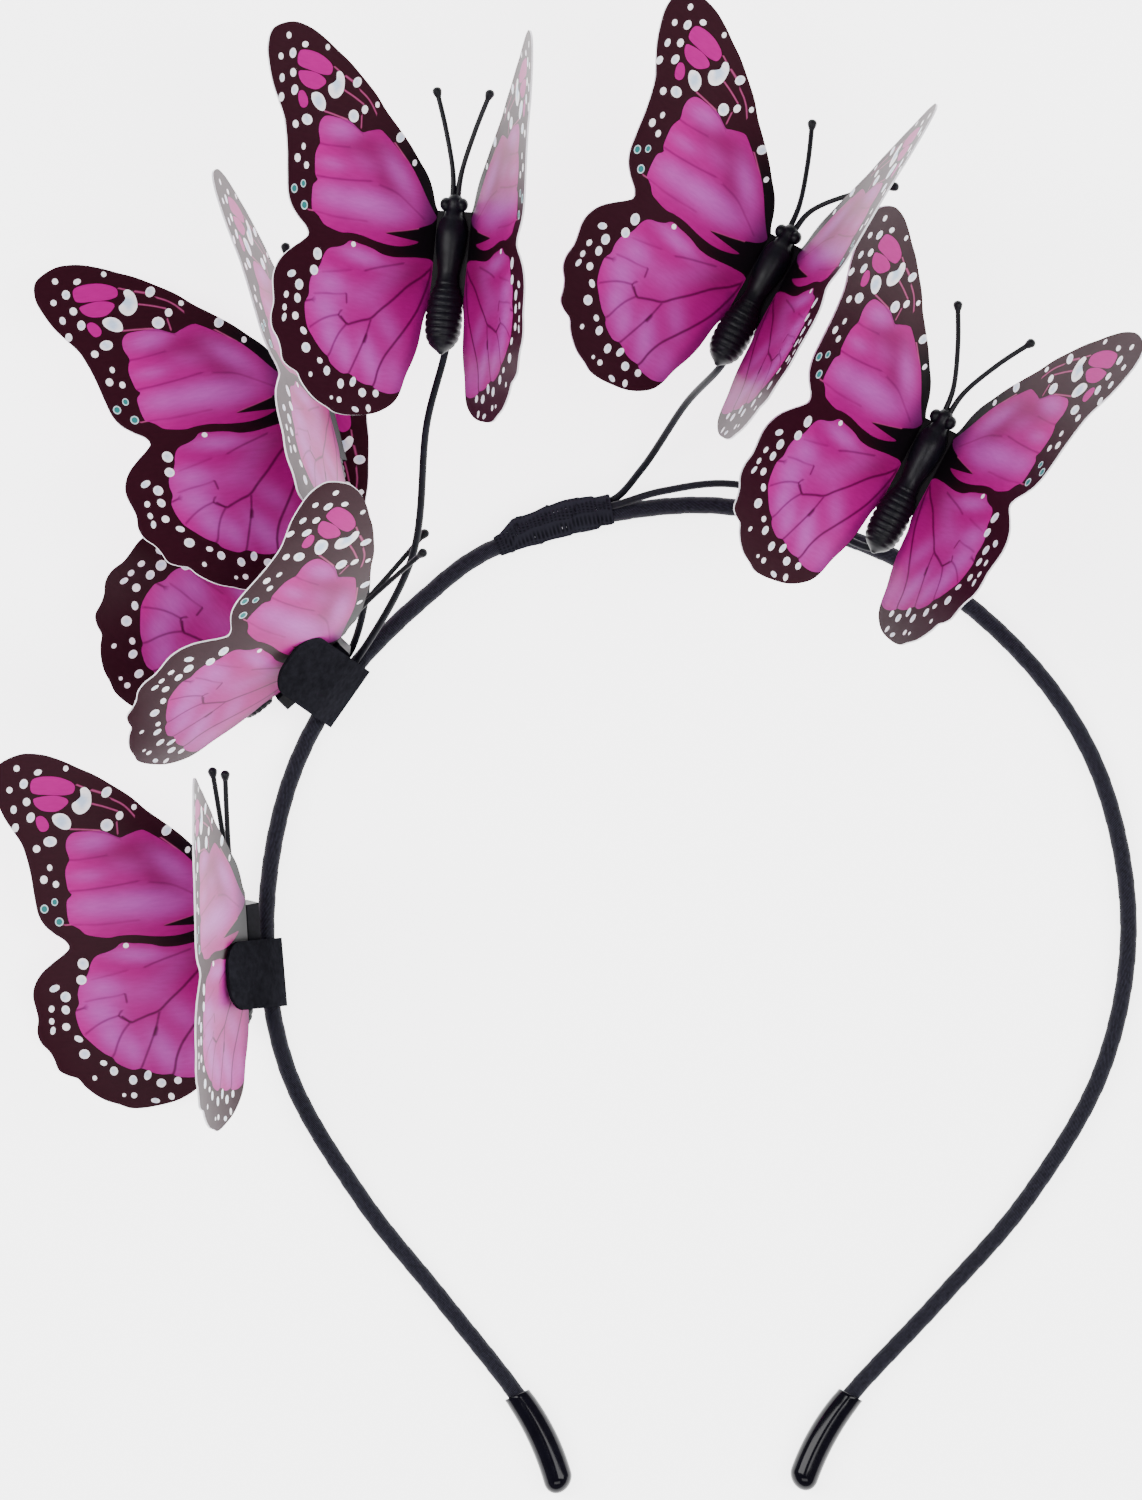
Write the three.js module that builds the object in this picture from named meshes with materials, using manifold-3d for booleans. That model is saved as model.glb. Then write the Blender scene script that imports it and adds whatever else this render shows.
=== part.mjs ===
// Butterfly fascinator headband, lying on its back: a satin-covered wire band with two end caps,
// two butterflies strapped to it and four more on wire stems. Millimetres, +Z up.
import * as THREE from 'three';
import { mergeVertices } from 'three/addons/utils/BufferGeometryUtils.js';
import Module from 'manifold-3d';

const wasm = await Module();
wasm.setup();

// Driving sizes of the band
const BAND_HALF_WIDTH = 69.3;
const BAND_HEIGHT = 143;
const BAND_RADIUS = 1.3;
const CLEARANCE = 0.3;
const CAP_LENGTH = 17.2;
const CAP_WALL = 0.45;
const CAP_SWELL = 0.2;
const CAP_GRIP = 6;
// How far each cap leans in from straight down, in degrees
const CAP_LEAN = { left: 24.5, right: 28.5 };

// Driving sizes of what is wrapped round the band
const PATCH_WALL = 0.8;
const PATCH_WIDTH = 11;
const WRAP_LENGTH = 18.4;
const WRAP_AT = 0.4408;
const STEM_RADIUS = 0.6;

// Driving sizes of one butterfly
const WING_REACH = 36.5;
const WING_LENGTH = 62;
const WING_SHEET = 0.5;
const ROOT_LENGTH = 15;
const BODY_LENGTH = 26;
const BODY_HALF_WIDTH = 2.6;
const HEAD_END = 10.2;
const BASE_LENGTH = 14;
const BASE_WIDTH = 3.4;
const BASE_DEPTH = 3;
const BASE_HEAD_END = 5;
const ANTENNA_LENGTH = 19;
const ANTENNA_RADIUS = 0.5;
const ANTENNA_KNOB = 0.75;

// Mesh steps
const BAND_SIDES = 12;
const BAND_STEPS = 48;
const STEM_SIDES = 8;
const STEM_STEPS = 14;
const WING_COLUMNS = 3;
const BODY_SIDES = 8;
const ABDOMEN_RINGS = 6;
const FEELER_SIDES = 5;
const FEELER_STEPS = 4;

// The wings spring from the sides of the body
const ROOT_HALF_WIDTH = BODY_HALF_WIDTH + CLEARANCE;

// The patches are the lowest pieces, so the band's centre lies this high
const BAND_LEVEL = BAND_RADIUS + CLEARANCE + PATCH_WALL;

// The course of the band that shows: down from its top, and out to the left and right, as shares
// of its sizes
const BAND_COURSE = [
  { down: 0.046, left: 0.461, right: 0.398 },
  { down: 0.107, left: 0.639, right: 0.615 },
  { down: 0.208, left: 0.836, right: 0.822 },
  { down: 0.32, left: 0.951, right: 0.946 },
  { down: 0.477, left: 1, right: 1 },
  { down: 0.633, left: 0.951, right: 0.94 },
  { down: 0.779, left: 0.779, right: 0.765 },
  { down: 0.89, left: 0.597, right: 0.567 },
  { down: 1, left: 0.418, right: 0.356 },
];

// The wing's edges at heights along the body: shares of the wing's length, from its root's
// middle to the head (+) or the tail (-), and of its reach from the body
const OUTER_EDGE = [
  { along: 0.528, out: 0.9 },
  { along: 0.508, out: 0.95 },
  { along: 0.468, out: 0.989 },
  { along: 0.41, out: 0.989 },
  { along: 0.303, out: 0.904 },
  { along: 0.195, out: 0.844 },
  { along: 0.082, out: 0.825 },
  { along: 0.037, out: 0.778 },
  { along: -0.01, out: 0.693 },
  { along: -0.029, out: 0.721 },
  { along: -0.076, out: 0.811 },
  { along: -0.135, out: 0.862 },
  { along: -0.2, out: 0.847 },
  { along: -0.245, out: 0.852 },
  { along: -0.315, out: 0.792 },
  { along: -0.373, out: 0.715 },
  { along: -0.429, out: 0.586 },
  { along: -0.452, out: 0.496 },
  { along: -0.46, out: 0.4 },
];
const INNER_EDGE = [
  { along: 0.528, out: 0.83 },
  { along: 0.513, out: 0.737 },
  { along: 0.489, out: 0.652 },
  { along: 0.445, out: 0.54 },
  { along: 0.398, out: 0.425 },
  { along: 0.306, out: 0.233 },
  { along: 0.208, out: 0.077 },
  { along: 0.116, out: 0 },
  { along: -0.129, out: 0 },
  { along: -0.194, out: 0.025 },
  { along: -0.308, out: 0.079 },
  { along: -0.4, out: 0.137 },
  { along: -0.437, out: 0.214 },
  { along: -0.455, out: 0.29 },
  { along: -0.46, out: 0.35 },
];

// The body's half width and the place of each section, as shares of the largest half width
// and of the body's length behind the front of the head
const BODY_SECTIONS = [
  { back: 0, wide: 0.25 },
  { back: 0.025, wide: 0.52 },
  { back: 0.065, wide: 0.62 },
  { back: 0.11, wide: 0.5 },
  { back: 0.15, wide: 0.72 },
  { back: 0.235, wide: 0.96 },
  { back: 0.35, wide: 0.88 },
  { back: 0.46, wide: 0.72 },
  { back: 0.55, wide: 0.66 },
];
const ABDOMEN = [
  { back: 0.59, wide: 0.78 },
  { back: 0.7, wide: 0.98 },
  { back: 0.8, wide: 1 },
  { back: 0.9, wide: 0.8 },
  { back: 0.97, wide: 0.5 },
];

// Where the butterflies sit: shares of the band's half width (right +) and height (down +),
// height over the floor in mm, turns in degrees, and each wing's raise, bend and twist. A tuck
// turns in the tail end of a wing that lies under its neighbour
const BUTTERFLIES = [
  { across: -1.068, down: 0.483, level: 9.6, heading: -3.3, pitch: 11.8, roll: 55, feelers: 12,
    left: { raise: 68, bend: -24, twist: 22 }, right: { raise: 60, bend: -22, twist: -6 } },
  { across: -0.891, down: 0.169, level: 11.4, heading: 48.4, pitch: 17.1, roll: 74.6, feelers: 12,
    left: { raise: 75, bend: 0, twist: -43 }, right: { raise: 36, bend: 22, twist: 4 } },
  { across: -0.892, down: -0.106, level: 14, heading: -14.8, pitch: -16.8, roll: 33, feelers: 12,
    left: { raise: 55.6, bend: -11, twist: -13 }, right: { raise: 70, bend: 1, twist: -1, tuck: 5 } },
  { across: -0.57, down: -0.275, level: 40, heading: 5.4, pitch: -7.9, roll: 16.5, feelers: 13,
    left: { raise: 54, bend: 0, twist: -1 }, right: { raise: 52, bend: 12, twist: 9 } },
  { across: 0.153, down: -0.249, level: 32, heading: 29.1, pitch: -9.8, roll: 17.9, feelers: 28,
    left: { raise: 47, bend: 3, twist: -4 }, right: { raise: 52, bend: 15, twist: 0 } },
  { across: 0.5125, down: -0.042, level: 24, heading: 28, pitch: -4.5, roll: 14.2, feelers: 20,
    left: { raise: 55, bend: 14, twist: 7 }, right: { raise: 43, bend: 7, twist: -8 } },
];

// Which butterflies a patch holds to the band, how far its lips lie up their wings, and how far
// it sits from the middle of the clip block to the tail
const PATCHES = [
  { butterfly: 1, leftLip: 2.5, rightLip: 9.5, slide: 4.2 },
  { butterfly: 2, leftLip: 4, rightLip: 9.5, slide: 0 },
];

// Each stem's bends: how far along, how far to the right, and the share of its rise
const STEMS = [
  { butterfly: 3, from: 'patch', seat: 10, bends: [
    { along: 0.32, aside: 0.115, rise: 0.7 }, { along: 0.66, aside: 0.12, rise: 1.2 }] },
  { butterfly: 4, from: 'patch', seat: 75, bends: [
    { along: 0.32, aside: 0.076, rise: 0.39 }, { along: 0.7, aside: 0.018, rise: 0.85 }] },
  { butterfly: 5, from: 'wrap', seat: 5, bends: [
    { along: 0.2, aside: 0.02, rise: 0.1 }, { along: 0.58, aside: -0.002, rise: 0.5 }] },
  { butterfly: 6, from: 'wrap', seat: 55, bends: [
    { along: 0.17, aside: -0.06, rise: 0.12 }, { along: 0.45, aside: -0.096, rise: 0.4 }] },
];

const radians = THREE.MathUtils.degToRad;
const UP = new THREE.Vector3(0, 0, 1);

// Reads the second column of a table at a value of the first, along a smooth curve
function read(table, key, column, at) {
  const sign = table[0][key] < table.at(-1)[key] ? 1 : -1;
  const last = table.length - 1;
  let i = 0;
  while (i < last - 1 && sign * (at - table[i + 1][key]) > 0) i += 1;
  const slope = (k) => {
    const a = table[Math.max(k - 1, 0)];
    const b = table[Math.min(k + 1, last)];
    return (b[column] - a[column]) / (b[key] - a[key]);
  };
  const p = table[i];
  const q = table[i + 1];
  const span = q[key] - p[key];
  const t = THREE.MathUtils.clamp((at - p[key]) / span, 0, 1);
  const bend = t * (1 - t);
  const ease = t * t * (3 - 2 * t);
  return p[column] + (q[column] - p[column]) * ease
    + span * bend * ((1 - t) * slope(i) - t * slope(i + 1));
}

// A closed mesh through rings of points, each ring with the same number of points
function loft(rings) {
  const count = rings[0].length;
  const points = rings.flat();
  const faces = [];
  for (let r = 0; r < rings.length - 1; r += 1) {
    for (let k = 0; k < count; k += 1) {
      const a = r * count + k;
      const b = r * count + ((k + 1) % count);
      faces.push(a, b, b + count);
      faces.push(a, b + count, a + count);
    }
  }
  const end = (rings.length - 1) * count;
  for (let k = 1; k < count - 1; k += 1) {
    faces.push(0, k + 1, k);
    faces.push(end, end + k, end + k + 1);
  }
  return closedMesh(points, faces);
}

function closedMesh(points, faces) {
  const geometry = new THREE.BufferGeometry().setFromPoints(points);
  geometry.setIndex(faces);
  return geometry;
}

// Solids for joining and cutting
function solid(geometry) {
  const bare = geometry.clone();
  bare.deleteAttribute('normal');
  bare.deleteAttribute('uv');
  const merged = mergeVertices(bare, 1e-4);
  const made = new wasm.Manifold(new wasm.Mesh({
    numProp: 3,
    vertProperties: new Float32Array(merged.attributes.position.array),
    triVerts: new Uint32Array(merged.index.array),
  }));
  return made;
}

function geometryOf(manifold) {
  const mesh = manifold.getMesh();
  const geometry = new THREE.BufferGeometry();
  geometry.setAttribute('position', new THREE.BufferAttribute(mesh.vertProperties, 3));
  geometry.setIndex(new THREE.BufferAttribute(mesh.triVerts, 1));
  return geometry;
}

// The band's centre line, from its end in the left cap over the top to its end in the right cap
function bandCurve() {
  const place = (side, row) => new THREE.Vector3(
    side * BAND_HALF_WIDTH * (side < 0 ? row.left : row.right),
    -BAND_HEIGHT * row.down,
    BAND_LEVEL,
  );
  const held = (side, mouth, lean) => new THREE.Vector3(
    mouth.x - side * CAP_GRIP * Math.sin(radians(lean)),
    mouth.y - CAP_GRIP * Math.cos(radians(lean)),
    mouth.z,
  );
  const left = BAND_COURSE.map((row) => place(-1, row));
  const right = BAND_COURSE.map((row) => place(1, row));
  left.push(held(-1, left[left.length - 1], CAP_LEAN.left));
  right.push(held(1, right[right.length - 1], CAP_LEAN.right));
  left.reverse();
  const top = new THREE.Vector3(0.017 * BAND_HALF_WIDTH, 0, BAND_LEVEL);
  return new THREE.CatmullRomCurve3([...left, top, ...right], false, 'centripetal');
}

const BAND = bandCurve();
const BAND_RUN = BAND.getLength();

// Axes at a share of the band: along it, out of the loop, and up
function bandFrame(share) {
  const origin = BAND.getPointAt(share);
  const along = BAND.getTangentAt(share);
  const out = new THREE.Vector3().crossVectors(UP, along).normalize();
  return { origin, along, out };
}

function nearestShare(point) {
  const tries = 400;
  let best = 0;
  let least = Infinity;
  for (let i = 0; i <= tries; i += 1) {
    const at = BAND.getPointAt(i / tries);
    const gap = Math.hypot(at.x - point.x, at.y - point.y);
    if (gap < least) {
      least = gap;
      best = i / tries;
    }
  }
  return best;
}

function polygon(sides, radius, turn = 0) {
  const corners = [];
  for (let k = 0; k < sides; k += 1) {
    const angle = turn + (2 * Math.PI * k) / sides;
    corners.push(new THREE.Vector2(radius * Math.cos(angle), radius * Math.sin(angle)));
  }
  return corners;
}

// A round bar along a curve, with flats that face up and down on a level curve
function bar(curve, radius, sides, steps) {
  const corner = radius / Math.cos(Math.PI / sides);
  const section = new THREE.Shape(polygon(sides, corner, Math.PI / sides));
  return new THREE.ExtrudeGeometry(section, { steps, bevelEnabled: false, extrudePath: curve });
}

// The convex outline round some circles in a plane
function outlineRound(circles, grow) {
  const spots = [];
  for (const circle of circles) {
    const reach = (circle.radius + grow) / Math.cos(Math.PI / 16);
    for (const corner of polygon(16, reach, Math.PI / 16)) {
      spots.push(new THREE.Vector2(circle.x + corner.x, circle.y + corner.y));
    }
  }
  spots.sort((a, b) => a.x - b.x || a.y - b.y);
  const turn = (o, a, b) => (a.x - o.x) * (b.y - o.y) - (a.y - o.y) * (b.x - o.x);
  const half = (list) => {
    const hull = [];
    for (const spot of list) {
      while (hull.length > 1 && turn(hull.at(-2), hull.at(-1), spot) <= 1e-6) hull.pop();
      hull.push(spot);
    }
    hull.pop();
    return hull;
  };
  return [...half(spots), ...half(spots.reverse())];
}

// A straight prism of an outline, centred on a frame: x out of the loop, y up
function prism(outline, frame, length) {
  const depth = { depth: length, bevelEnabled: false };
  const geometry = new THREE.ExtrudeGeometry(new THREE.Shape(outline), depth);
  geometry.translate(0, 0, -length / 2);
  const axis = new THREE.Vector3().crossVectors(frame.out, UP);
  const level = new THREE.Vector3(frame.origin.x, frame.origin.y, 0);
  const basis = new THREE.Matrix4().makeBasis(frame.out, UP, axis).setPosition(level);
  return geometry.applyMatrix4(basis);
}

// One butterfly's axes: x to its right, y to its head, z out of its back
function butterflyMatrix(row) {
  const h = radians(row.heading);
  const p = radians(row.pitch);
  const r = radians(row.roll);
  const head = new THREE.Vector3(
    Math.sin(h) * Math.cos(p),
    Math.cos(h) * Math.cos(p),
    Math.sin(p),
  );
  const level = new THREE.Vector3(Math.cos(h), -Math.sin(h), 0);
  const lifted = new THREE.Vector3().crossVectors(level, head);
  const side = level.clone().multiplyScalar(Math.cos(r)).addScaledVector(lifted, Math.sin(r));
  const back = new THREE.Vector3().crossVectors(side, head);
  return new THREE.Matrix4().makeBasis(side, head, back).setPosition(
    row.across * BAND_HALF_WIDTH,
    -row.down * BAND_HEIGHT,
    row.level,
  );
}

// A point of a wing's middle surface: out from the root, along the body, and off the sheet
function wingPoint(wing, side, out, along, off) {
  const share = along / WING_LENGTH;
  const tucked = (wing.tuck ?? 0) * (2 * Math.max(0, -share)) ** 2;
  const start = radians(wing.raise + wing.twist * share + tucked);
  const curl = radians(wing.bend || 0.01) / WING_REACH;
  const angle = start + curl * out;
  const x = (Math.sin(angle) - Math.sin(start)) / curl - off * Math.sin(angle);
  const z = (Math.cos(start) - Math.cos(angle)) / curl + off * Math.cos(angle);
  return new THREE.Vector3(side * (ROOT_HALF_WIDTH + x), along, z);
}

// The heights of the rows that a wing's mesh is made of: those of its outer edge's table and
// those where its inner edge turns
function wingRows() {
  const marks = OUTER_EDGE.map((row) => row.along);
  marks.push(...INNER_EDGE.filter((row) => row.out < 0.3).map((row) => row.along));
  marks.sort((a, b) => b - a);
  return marks.filter((mark, i) => i === 0 || marks[i - 1] - mark > 0.012);
}

function wingSolid(wing, side) {
  const rings = wingRows().map((mark) => {
    const inner = Math.max(0, read(INNER_EDGE, 'along', 'out', mark)) * WING_REACH;
    const outer = read(OUTER_EDGE, 'along', 'out', mark) * WING_REACH;
    const ring = [];
    for (let k = 0; k <= WING_COLUMNS; k += 1) {
      const out = inner + ((outer - inner) * k) / WING_COLUMNS;
      ring.push(wingPoint(wing, side, out, mark * WING_LENGTH, WING_SHEET / 2));
    }
    for (let k = WING_COLUMNS; k >= 0; k -= 1) {
      const out = inner + ((outer - inner) * k) / WING_COLUMNS;
      ring.push(wingPoint(wing, side, out, mark * WING_LENGTH, -WING_SHEET / 2));
    }
    return side > 0 ? ring : ring.reverse();
  });
  return solid(sheetLoft(rings));
}

// A closed mesh through flat rings, whose ends are strips between the ring's two halves
function sheetLoft(rings) {
  const count = rings[0].length;
  const faces = [];
  for (let r = 0; r < rings.length - 1; r += 1) {
    for (let k = 0; k < count; k += 1) {
      const a = r * count + k;
      const b = r * count + ((k + 1) % count);
      faces.push(a, b + count, b);
      faces.push(a, a + count, b + count);
    }
  }
  const end = (rings.length - 1) * count;
  for (let k = 0; k < count / 2 - 1; k += 1) {
    const m = count - 1 - k;
    faces.push(k, k + 1, m - 1);
    faces.push(k, m - 1, m);
    faces.push(end + k, end + m - 1, end + k + 1);
    faces.push(end + k, end + m, end + m - 1);
  }
  return closedMesh(rings.flat(), faces);
}

// Both wings and the strip between them, under the body, as one printed sheet
function wings(row) {
  const strip = new THREE.BoxGeometry(2 * ROOT_HALF_WIDTH + WING_SHEET / 2, ROOT_LENGTH, WING_SHEET);
  const joined = solid(strip)
    .add(wingSolid(row.left, -1))
    .add(wingSolid(row.right, 1));
  return geometryOf(joined);
}

// The moulded body: head, thorax and ringed abdomen, with eyes and feelers in the same piece
function body(row) {
  const front = HEAD_END;
  const seat = WING_SHEET / 2 + CLEARANCE;
  const seatHead = Math.max(ROOT_LENGTH / 2, BASE_HEAD_END) + CLEARANCE;
  const seatTail = Math.min(-ROOT_LENGTH / 2, BASE_HEAD_END - BASE_LENGTH) - CLEARANCE;
  const rings = bodyRows().map(({ back, wide }) => {
    const along = front - back * BODY_LENGTH;
    const half = wide * BODY_HALF_WIDTH;
    const floor = along < seatHead && along > seatTail ? seat : -half / 5;
    return polygon(BODY_SIDES, half, Math.PI / BODY_SIDES).map((corner) => new THREE.Vector3(
      corner.x,
      along,
      Math.max(floor, seat + corner.y),
    ));
  });
  let joined = solid(loft(rings));
  for (const side of [-1, 1]) {
    const eye = new THREE.SphereGeometry(0.3 * BODY_HALF_WIDTH, FEELER_SIDES, 3);
    eye.translate(side * 0.5 * BODY_HALF_WIDTH, front - 0.065 * BODY_LENGTH, seat + 0.3);
    joined = joined.add(solid(eye));
    joined = joined.add(feeler(row, side, front, seat));
  }
  return geometryOf(joined);
}

function bodyRows() {
  const rows = [...BODY_SECTIONS];
  const first = ABDOMEN[0].back;
  const run = ABDOMEN.at(-1).back - first;
  const steps = 2 * ABDOMEN_RINGS;
  for (let k = 0; k <= steps; k += 1) {
    const back = first + (run * k) / steps;
    const groove = k % 2 === 0 ? 0.9 : 1.03;
    rows.push({ back, wide: groove * read(ABDOMEN, 'back', 'wide', back) });
  }
  rows.push({ back: 1, wide: 0.2 });
  return rows;
}

function feeler(row, side, front, seat) {
  const lean = radians(row.feelers);
  const reach = ANTENNA_LENGTH;
  const spot = (share, angle) => new THREE.Vector3(
    side * (ANTENNA_RADIUS / 2 + share * reach * Math.sin(angle)),
    front - 1.5 + share * reach * Math.cos(angle),
    seat + 0.06 * share * reach,
  );
  const course = [spot(0, 0), spot(0.2, lean * 0.4), spot(0.6, lean * 0.85), spot(1, lean)];
  const line = new THREE.CatmullRomCurve3(course);
  const rod = solid(bar(line, ANTENNA_RADIUS, FEELER_SIDES, FEELER_STEPS));
  const knob = new THREE.SphereGeometry(ANTENNA_KNOB, FEELER_SIDES, 3);
  knob.translate(...spot(1, lean));
  return rod.add(solid(knob));
}

// The clip block under the sheet
function base() {
  const section = new THREE.Shape();
  const half = BASE_WIDTH / 2;
  const round = BASE_WIDTH / 5;
  section.moveTo(-half, -BASE_DEPTH);
  section.lineTo(half, -BASE_DEPTH);
  section.lineTo(half, -round);
  section.lineTo(half - round, 0);
  section.lineTo(round - half, 0);
  section.lineTo(-half, -round);
  const block = new THREE.ExtrudeGeometry(section, { depth: BASE_LENGTH, bevelEnabled: false });
  block.rotateX(Math.PI / 2);
  block.translate(0, BASE_HEAD_END, -WING_SHEET / 2 - CLEARANCE);
  return block;
}

function baseCorners(matrix) {
  const top = -WING_SHEET / 2 - CLEARANCE;
  const corners = [];
  for (const x of [-BASE_WIDTH / 2, BASE_WIDTH / 2]) {
    for (const y of [BASE_HEAD_END - BASE_LENGTH, BASE_HEAD_END]) {
      for (const z of [top - BASE_DEPTH, top]) {
        corners.push(new THREE.Vector3(x, y, z).applyMatrix4(matrix));
      }
    }
  }
  return corners;
}

// Where a patch crosses the band: near the middle of the clip block, as a share of the band
function patchShare(entry) {
  const matrix = butterflyMatrix(BUTTERFLIES[entry.butterfly - 1]);
  const middle = new THREE.Vector3(
    0,
    BASE_HEAD_END - BASE_LENGTH / 2,
    -WING_SHEET / 2 - CLEARANCE - BASE_DEPTH / 2,
  );
  return nearestShare(middle.applyMatrix4(matrix)) - entry.slide / BAND_RUN;
}

// The space between a butterfly's wings and behind them, which its patch stays out of
function wingTrough(row, matrix) {
  const far = 2 * WING_REACH;
  const drop = WING_SHEET / 2 + CLEARANCE;
  const edge = (side, wing, out) => {
    const slack = (Math.abs(wing.twist) + Math.abs(wing.bend)) * (PATCH_WIDTH / WING_LENGTH);
    const plain = { raise: wing.raise - slack, bend: 0, twist: 0 };
    return wingPoint(plain, side, out, 0, -drop);
  };
  const corners = [
    edge(-1, row.left, far),
    new THREE.Vector3(-ROOT_HALF_WIDTH - CLEARANCE, 0, -drop),
    new THREE.Vector3(ROOT_HALF_WIDTH + CLEARANCE, 0, -drop),
    edge(1, row.right, far),
  ].map((corner) => new THREE.Vector2(corner.x, corner.z));
  const depth = { depth: WING_LENGTH, bevelEnabled: false };
  const trough = new THREE.ExtrudeGeometry(new THREE.Shape(corners), depth);
  trough.translate(0, 0, -WING_LENGTH / 2);
  trough.rotateX(Math.PI / 2);
  return trough.applyMatrix4(matrix);
}

// A patch round the band and the clip block, open where its lips lie on the wings
function patch(entry) {
  const row = BUTTERFLIES[entry.butterfly - 1];
  const matrix = butterflyMatrix(row);
  const frame = bandFrame(patchShare(entry));
  const flat = (point) => {
    const from = point.clone().sub(frame.origin);
    return { x: from.dot(frame.out), y: point.z, radius: 0 };
  };
  const lip = (side, wing, out) => flat(
    wingPoint({ ...wing, bend: 0, twist: 0 }, side, out, 0, 0).applyMatrix4(matrix),
  );
  const bow = PATCH_WIDTH ** 2 / (4 * BAND_HALF_WIDTH);
  const circles = [
    { x: 0, y: BAND_LEVEL, radius: BAND_RADIUS },
    { x: -bow, y: BAND_LEVEL, radius: BAND_RADIUS },
    ...baseCorners(matrix).map(flat),
    lip(-1, row.left, entry.leftLip),
    lip(1, row.right, entry.rightLip),
  ];
  const outer = solid(prism(outlineRound(circles, CLEARANCE + PATCH_WALL), frame, PATCH_WIDTH));
  const inner = solid(prism(outlineRound(circles, CLEARANCE), frame, 3 * PATCH_WIDTH));
  return geometryOf(outer.subtract(inner).subtract(solid(wingTrough(row, matrix))));
}

// A stem's seat beside the band: out of the loop and up, at an angle from the outward side
function seatPoint(share, angle) {
  const frame = bandFrame(share);
  const reach = BAND_RADIUS + CLEARANCE + STEM_RADIUS;
  return frame.origin.clone()
    .addScaledVector(frame.out, reach * Math.cos(radians(angle)))
    .addScaledVector(UP, reach * Math.sin(radians(angle)));
}

// The wound tape round the band and the seats of two stems
function wrap() {
  const stations = 5;
  const held = STEMS.filter((stem) => stem.from === 'wrap');
  const sleeve = (grow, length) => {
    const rings = [];
    for (let k = 0; k < stations; k += 1) {
      const share = WRAP_AT + (length / BAND_RUN) * (k / (stations - 1) - 0.5);
      const frame = bandFrame(share);
      const circles = [{ x: 0, y: 0, radius: BAND_RADIUS }];
      for (const stem of held) {
        const seat = seatPoint(share, stem.seat).sub(frame.origin);
        circles.push({ x: seat.dot(frame.out), y: seat.z, radius: STEM_RADIUS });
      }
      rings.push(outlineRound(circles, grow).map((spot) => frame.origin.clone()
        .addScaledVector(frame.out, spot.x)
        .addScaledVector(UP, spot.y)));
    }
    return solid(loft(rings));
  };
  return geometryOf(sleeve(CLEARANCE + PATCH_WALL, WRAP_LENGTH)
    .subtract(sleeve(CLEARANCE, 1.2 * WRAP_LENGTH)));
}

// A wire stem from its seat beside the band to the tail end of its butterfly's clip block
function stem(entry) {
  const row = BUTTERFLIES[entry.butterfly - 1];
  const matrix = butterflyMatrix(row);
  const low = -WING_SHEET / 2 - CLEARANCE - BASE_DEPTH / 2;
  const tail = BASE_HEAD_END - BASE_LENGTH - CLEARANCE;
  const end = new THREE.Vector3(0, tail, low).applyMatrix4(matrix);
  const approach = new THREE.Vector3(0, tail - 5, low).applyMatrix4(matrix);
  const held = entry.from === 'wrap' ? WRAP_LENGTH : PATCH_WIDTH;
  const middle = entry.from === 'wrap' ? WRAP_AT : patchShare(PATCHES[1]);
  const seat = (step) => seatPoint(middle + (step * held) / BAND_RUN, entry.seat);
  const start = seat(0.55);
  const across = new THREE.Vector3().subVectors(end, start).setZ(0);
  const right = new THREE.Vector3(across.y, -across.x, 0);
  const rise = end.z - start.z;
  const bends = entry.bends.map((bend) => start.clone()
    .addScaledVector(across, bend.along)
    .addScaledVector(right, bend.aside)
    .addScaledVector(UP, rise * bend.rise));
  const course = [seat(-0.3), seat(0), seat(0.3), start, ...bends, approach, end];
  const curve = new THREE.CatmullRomCurve3(course, false, 'centripetal');
  return bar(curve, STEM_RADIUS, STEM_SIDES, STEM_STEPS);
}

// A glossy end cap: a round-ended sleeve over the band's end, in line with the band's last step
function cap(share) {
  const mouth = BAND_RADIUS + CLEARANCE + CAP_WALL;
  const full = mouth + CAP_SWELL;
  const hole = BAND_RADIUS + CLEARANCE;
  const round = CAP_LENGTH - CAP_GRIP - full;
  const profile = [
    new THREE.Vector2(0, CLEARANCE),
    new THREE.Vector2(hole, CLEARANCE),
    new THREE.Vector2(hole, -CAP_GRIP),
    new THREE.Vector2(mouth, -CAP_GRIP),
    new THREE.Vector2(full, round * 0.75),
  ];
  const arc = 4;
  for (let k = 0; k <= arc; k += 1) {
    const angle = (Math.PI / 2) * (k / arc);
    profile.push(new THREE.Vector2(full * Math.cos(angle), round + full * Math.sin(angle)));
  }
  const geometry = new THREE.LatheGeometry(profile, BAND_SIDES);
  const end = BAND.getPointAt(share);
  const before = BAND.getPointAt(Math.abs(share - 1 / BAND_STEPS));
  const way = end.clone().sub(before).normalize();
  const turn = new THREE.Quaternion().setFromUnitVectors(new THREE.Vector3(0, 1, 0), way);
  const basis = new THREE.Matrix4().compose(end, turn, new THREE.Vector3(1, 1, 1));
  return geometry.applyMatrix4(basis);
}

// Finishes
const FINISH = {
  satin: { color: 0x17171b, roughness: 0.55, metalness: 0 },
  gloss: { color: 0x0d0d10, roughness: 0.12, metalness: 0 },
  felt: { color: 0x141417, roughness: 0.85, metalness: 0 },
  tape: { color: 0x18181b, roughness: 0.8, metalness: 0 },
  wire: { color: 0x121214, roughness: 0.4, metalness: 0 },
  moulded: { color: 0x111113, roughness: 0.45, metalness: 0 },
  print: { color: 0xb3288a, roughness: 0.35, metalness: 0 },
};

const headband = new THREE.Group();

function place(name, geometry, finish, matrix) {
  const mesh = new THREE.Mesh(geometry, new THREE.MeshStandardMaterial(FINISH[finish]));
  mesh.name = name;
  if (matrix) mesh.applyMatrix4(matrix);
  headband.add(mesh);
  return mesh;
}

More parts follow.
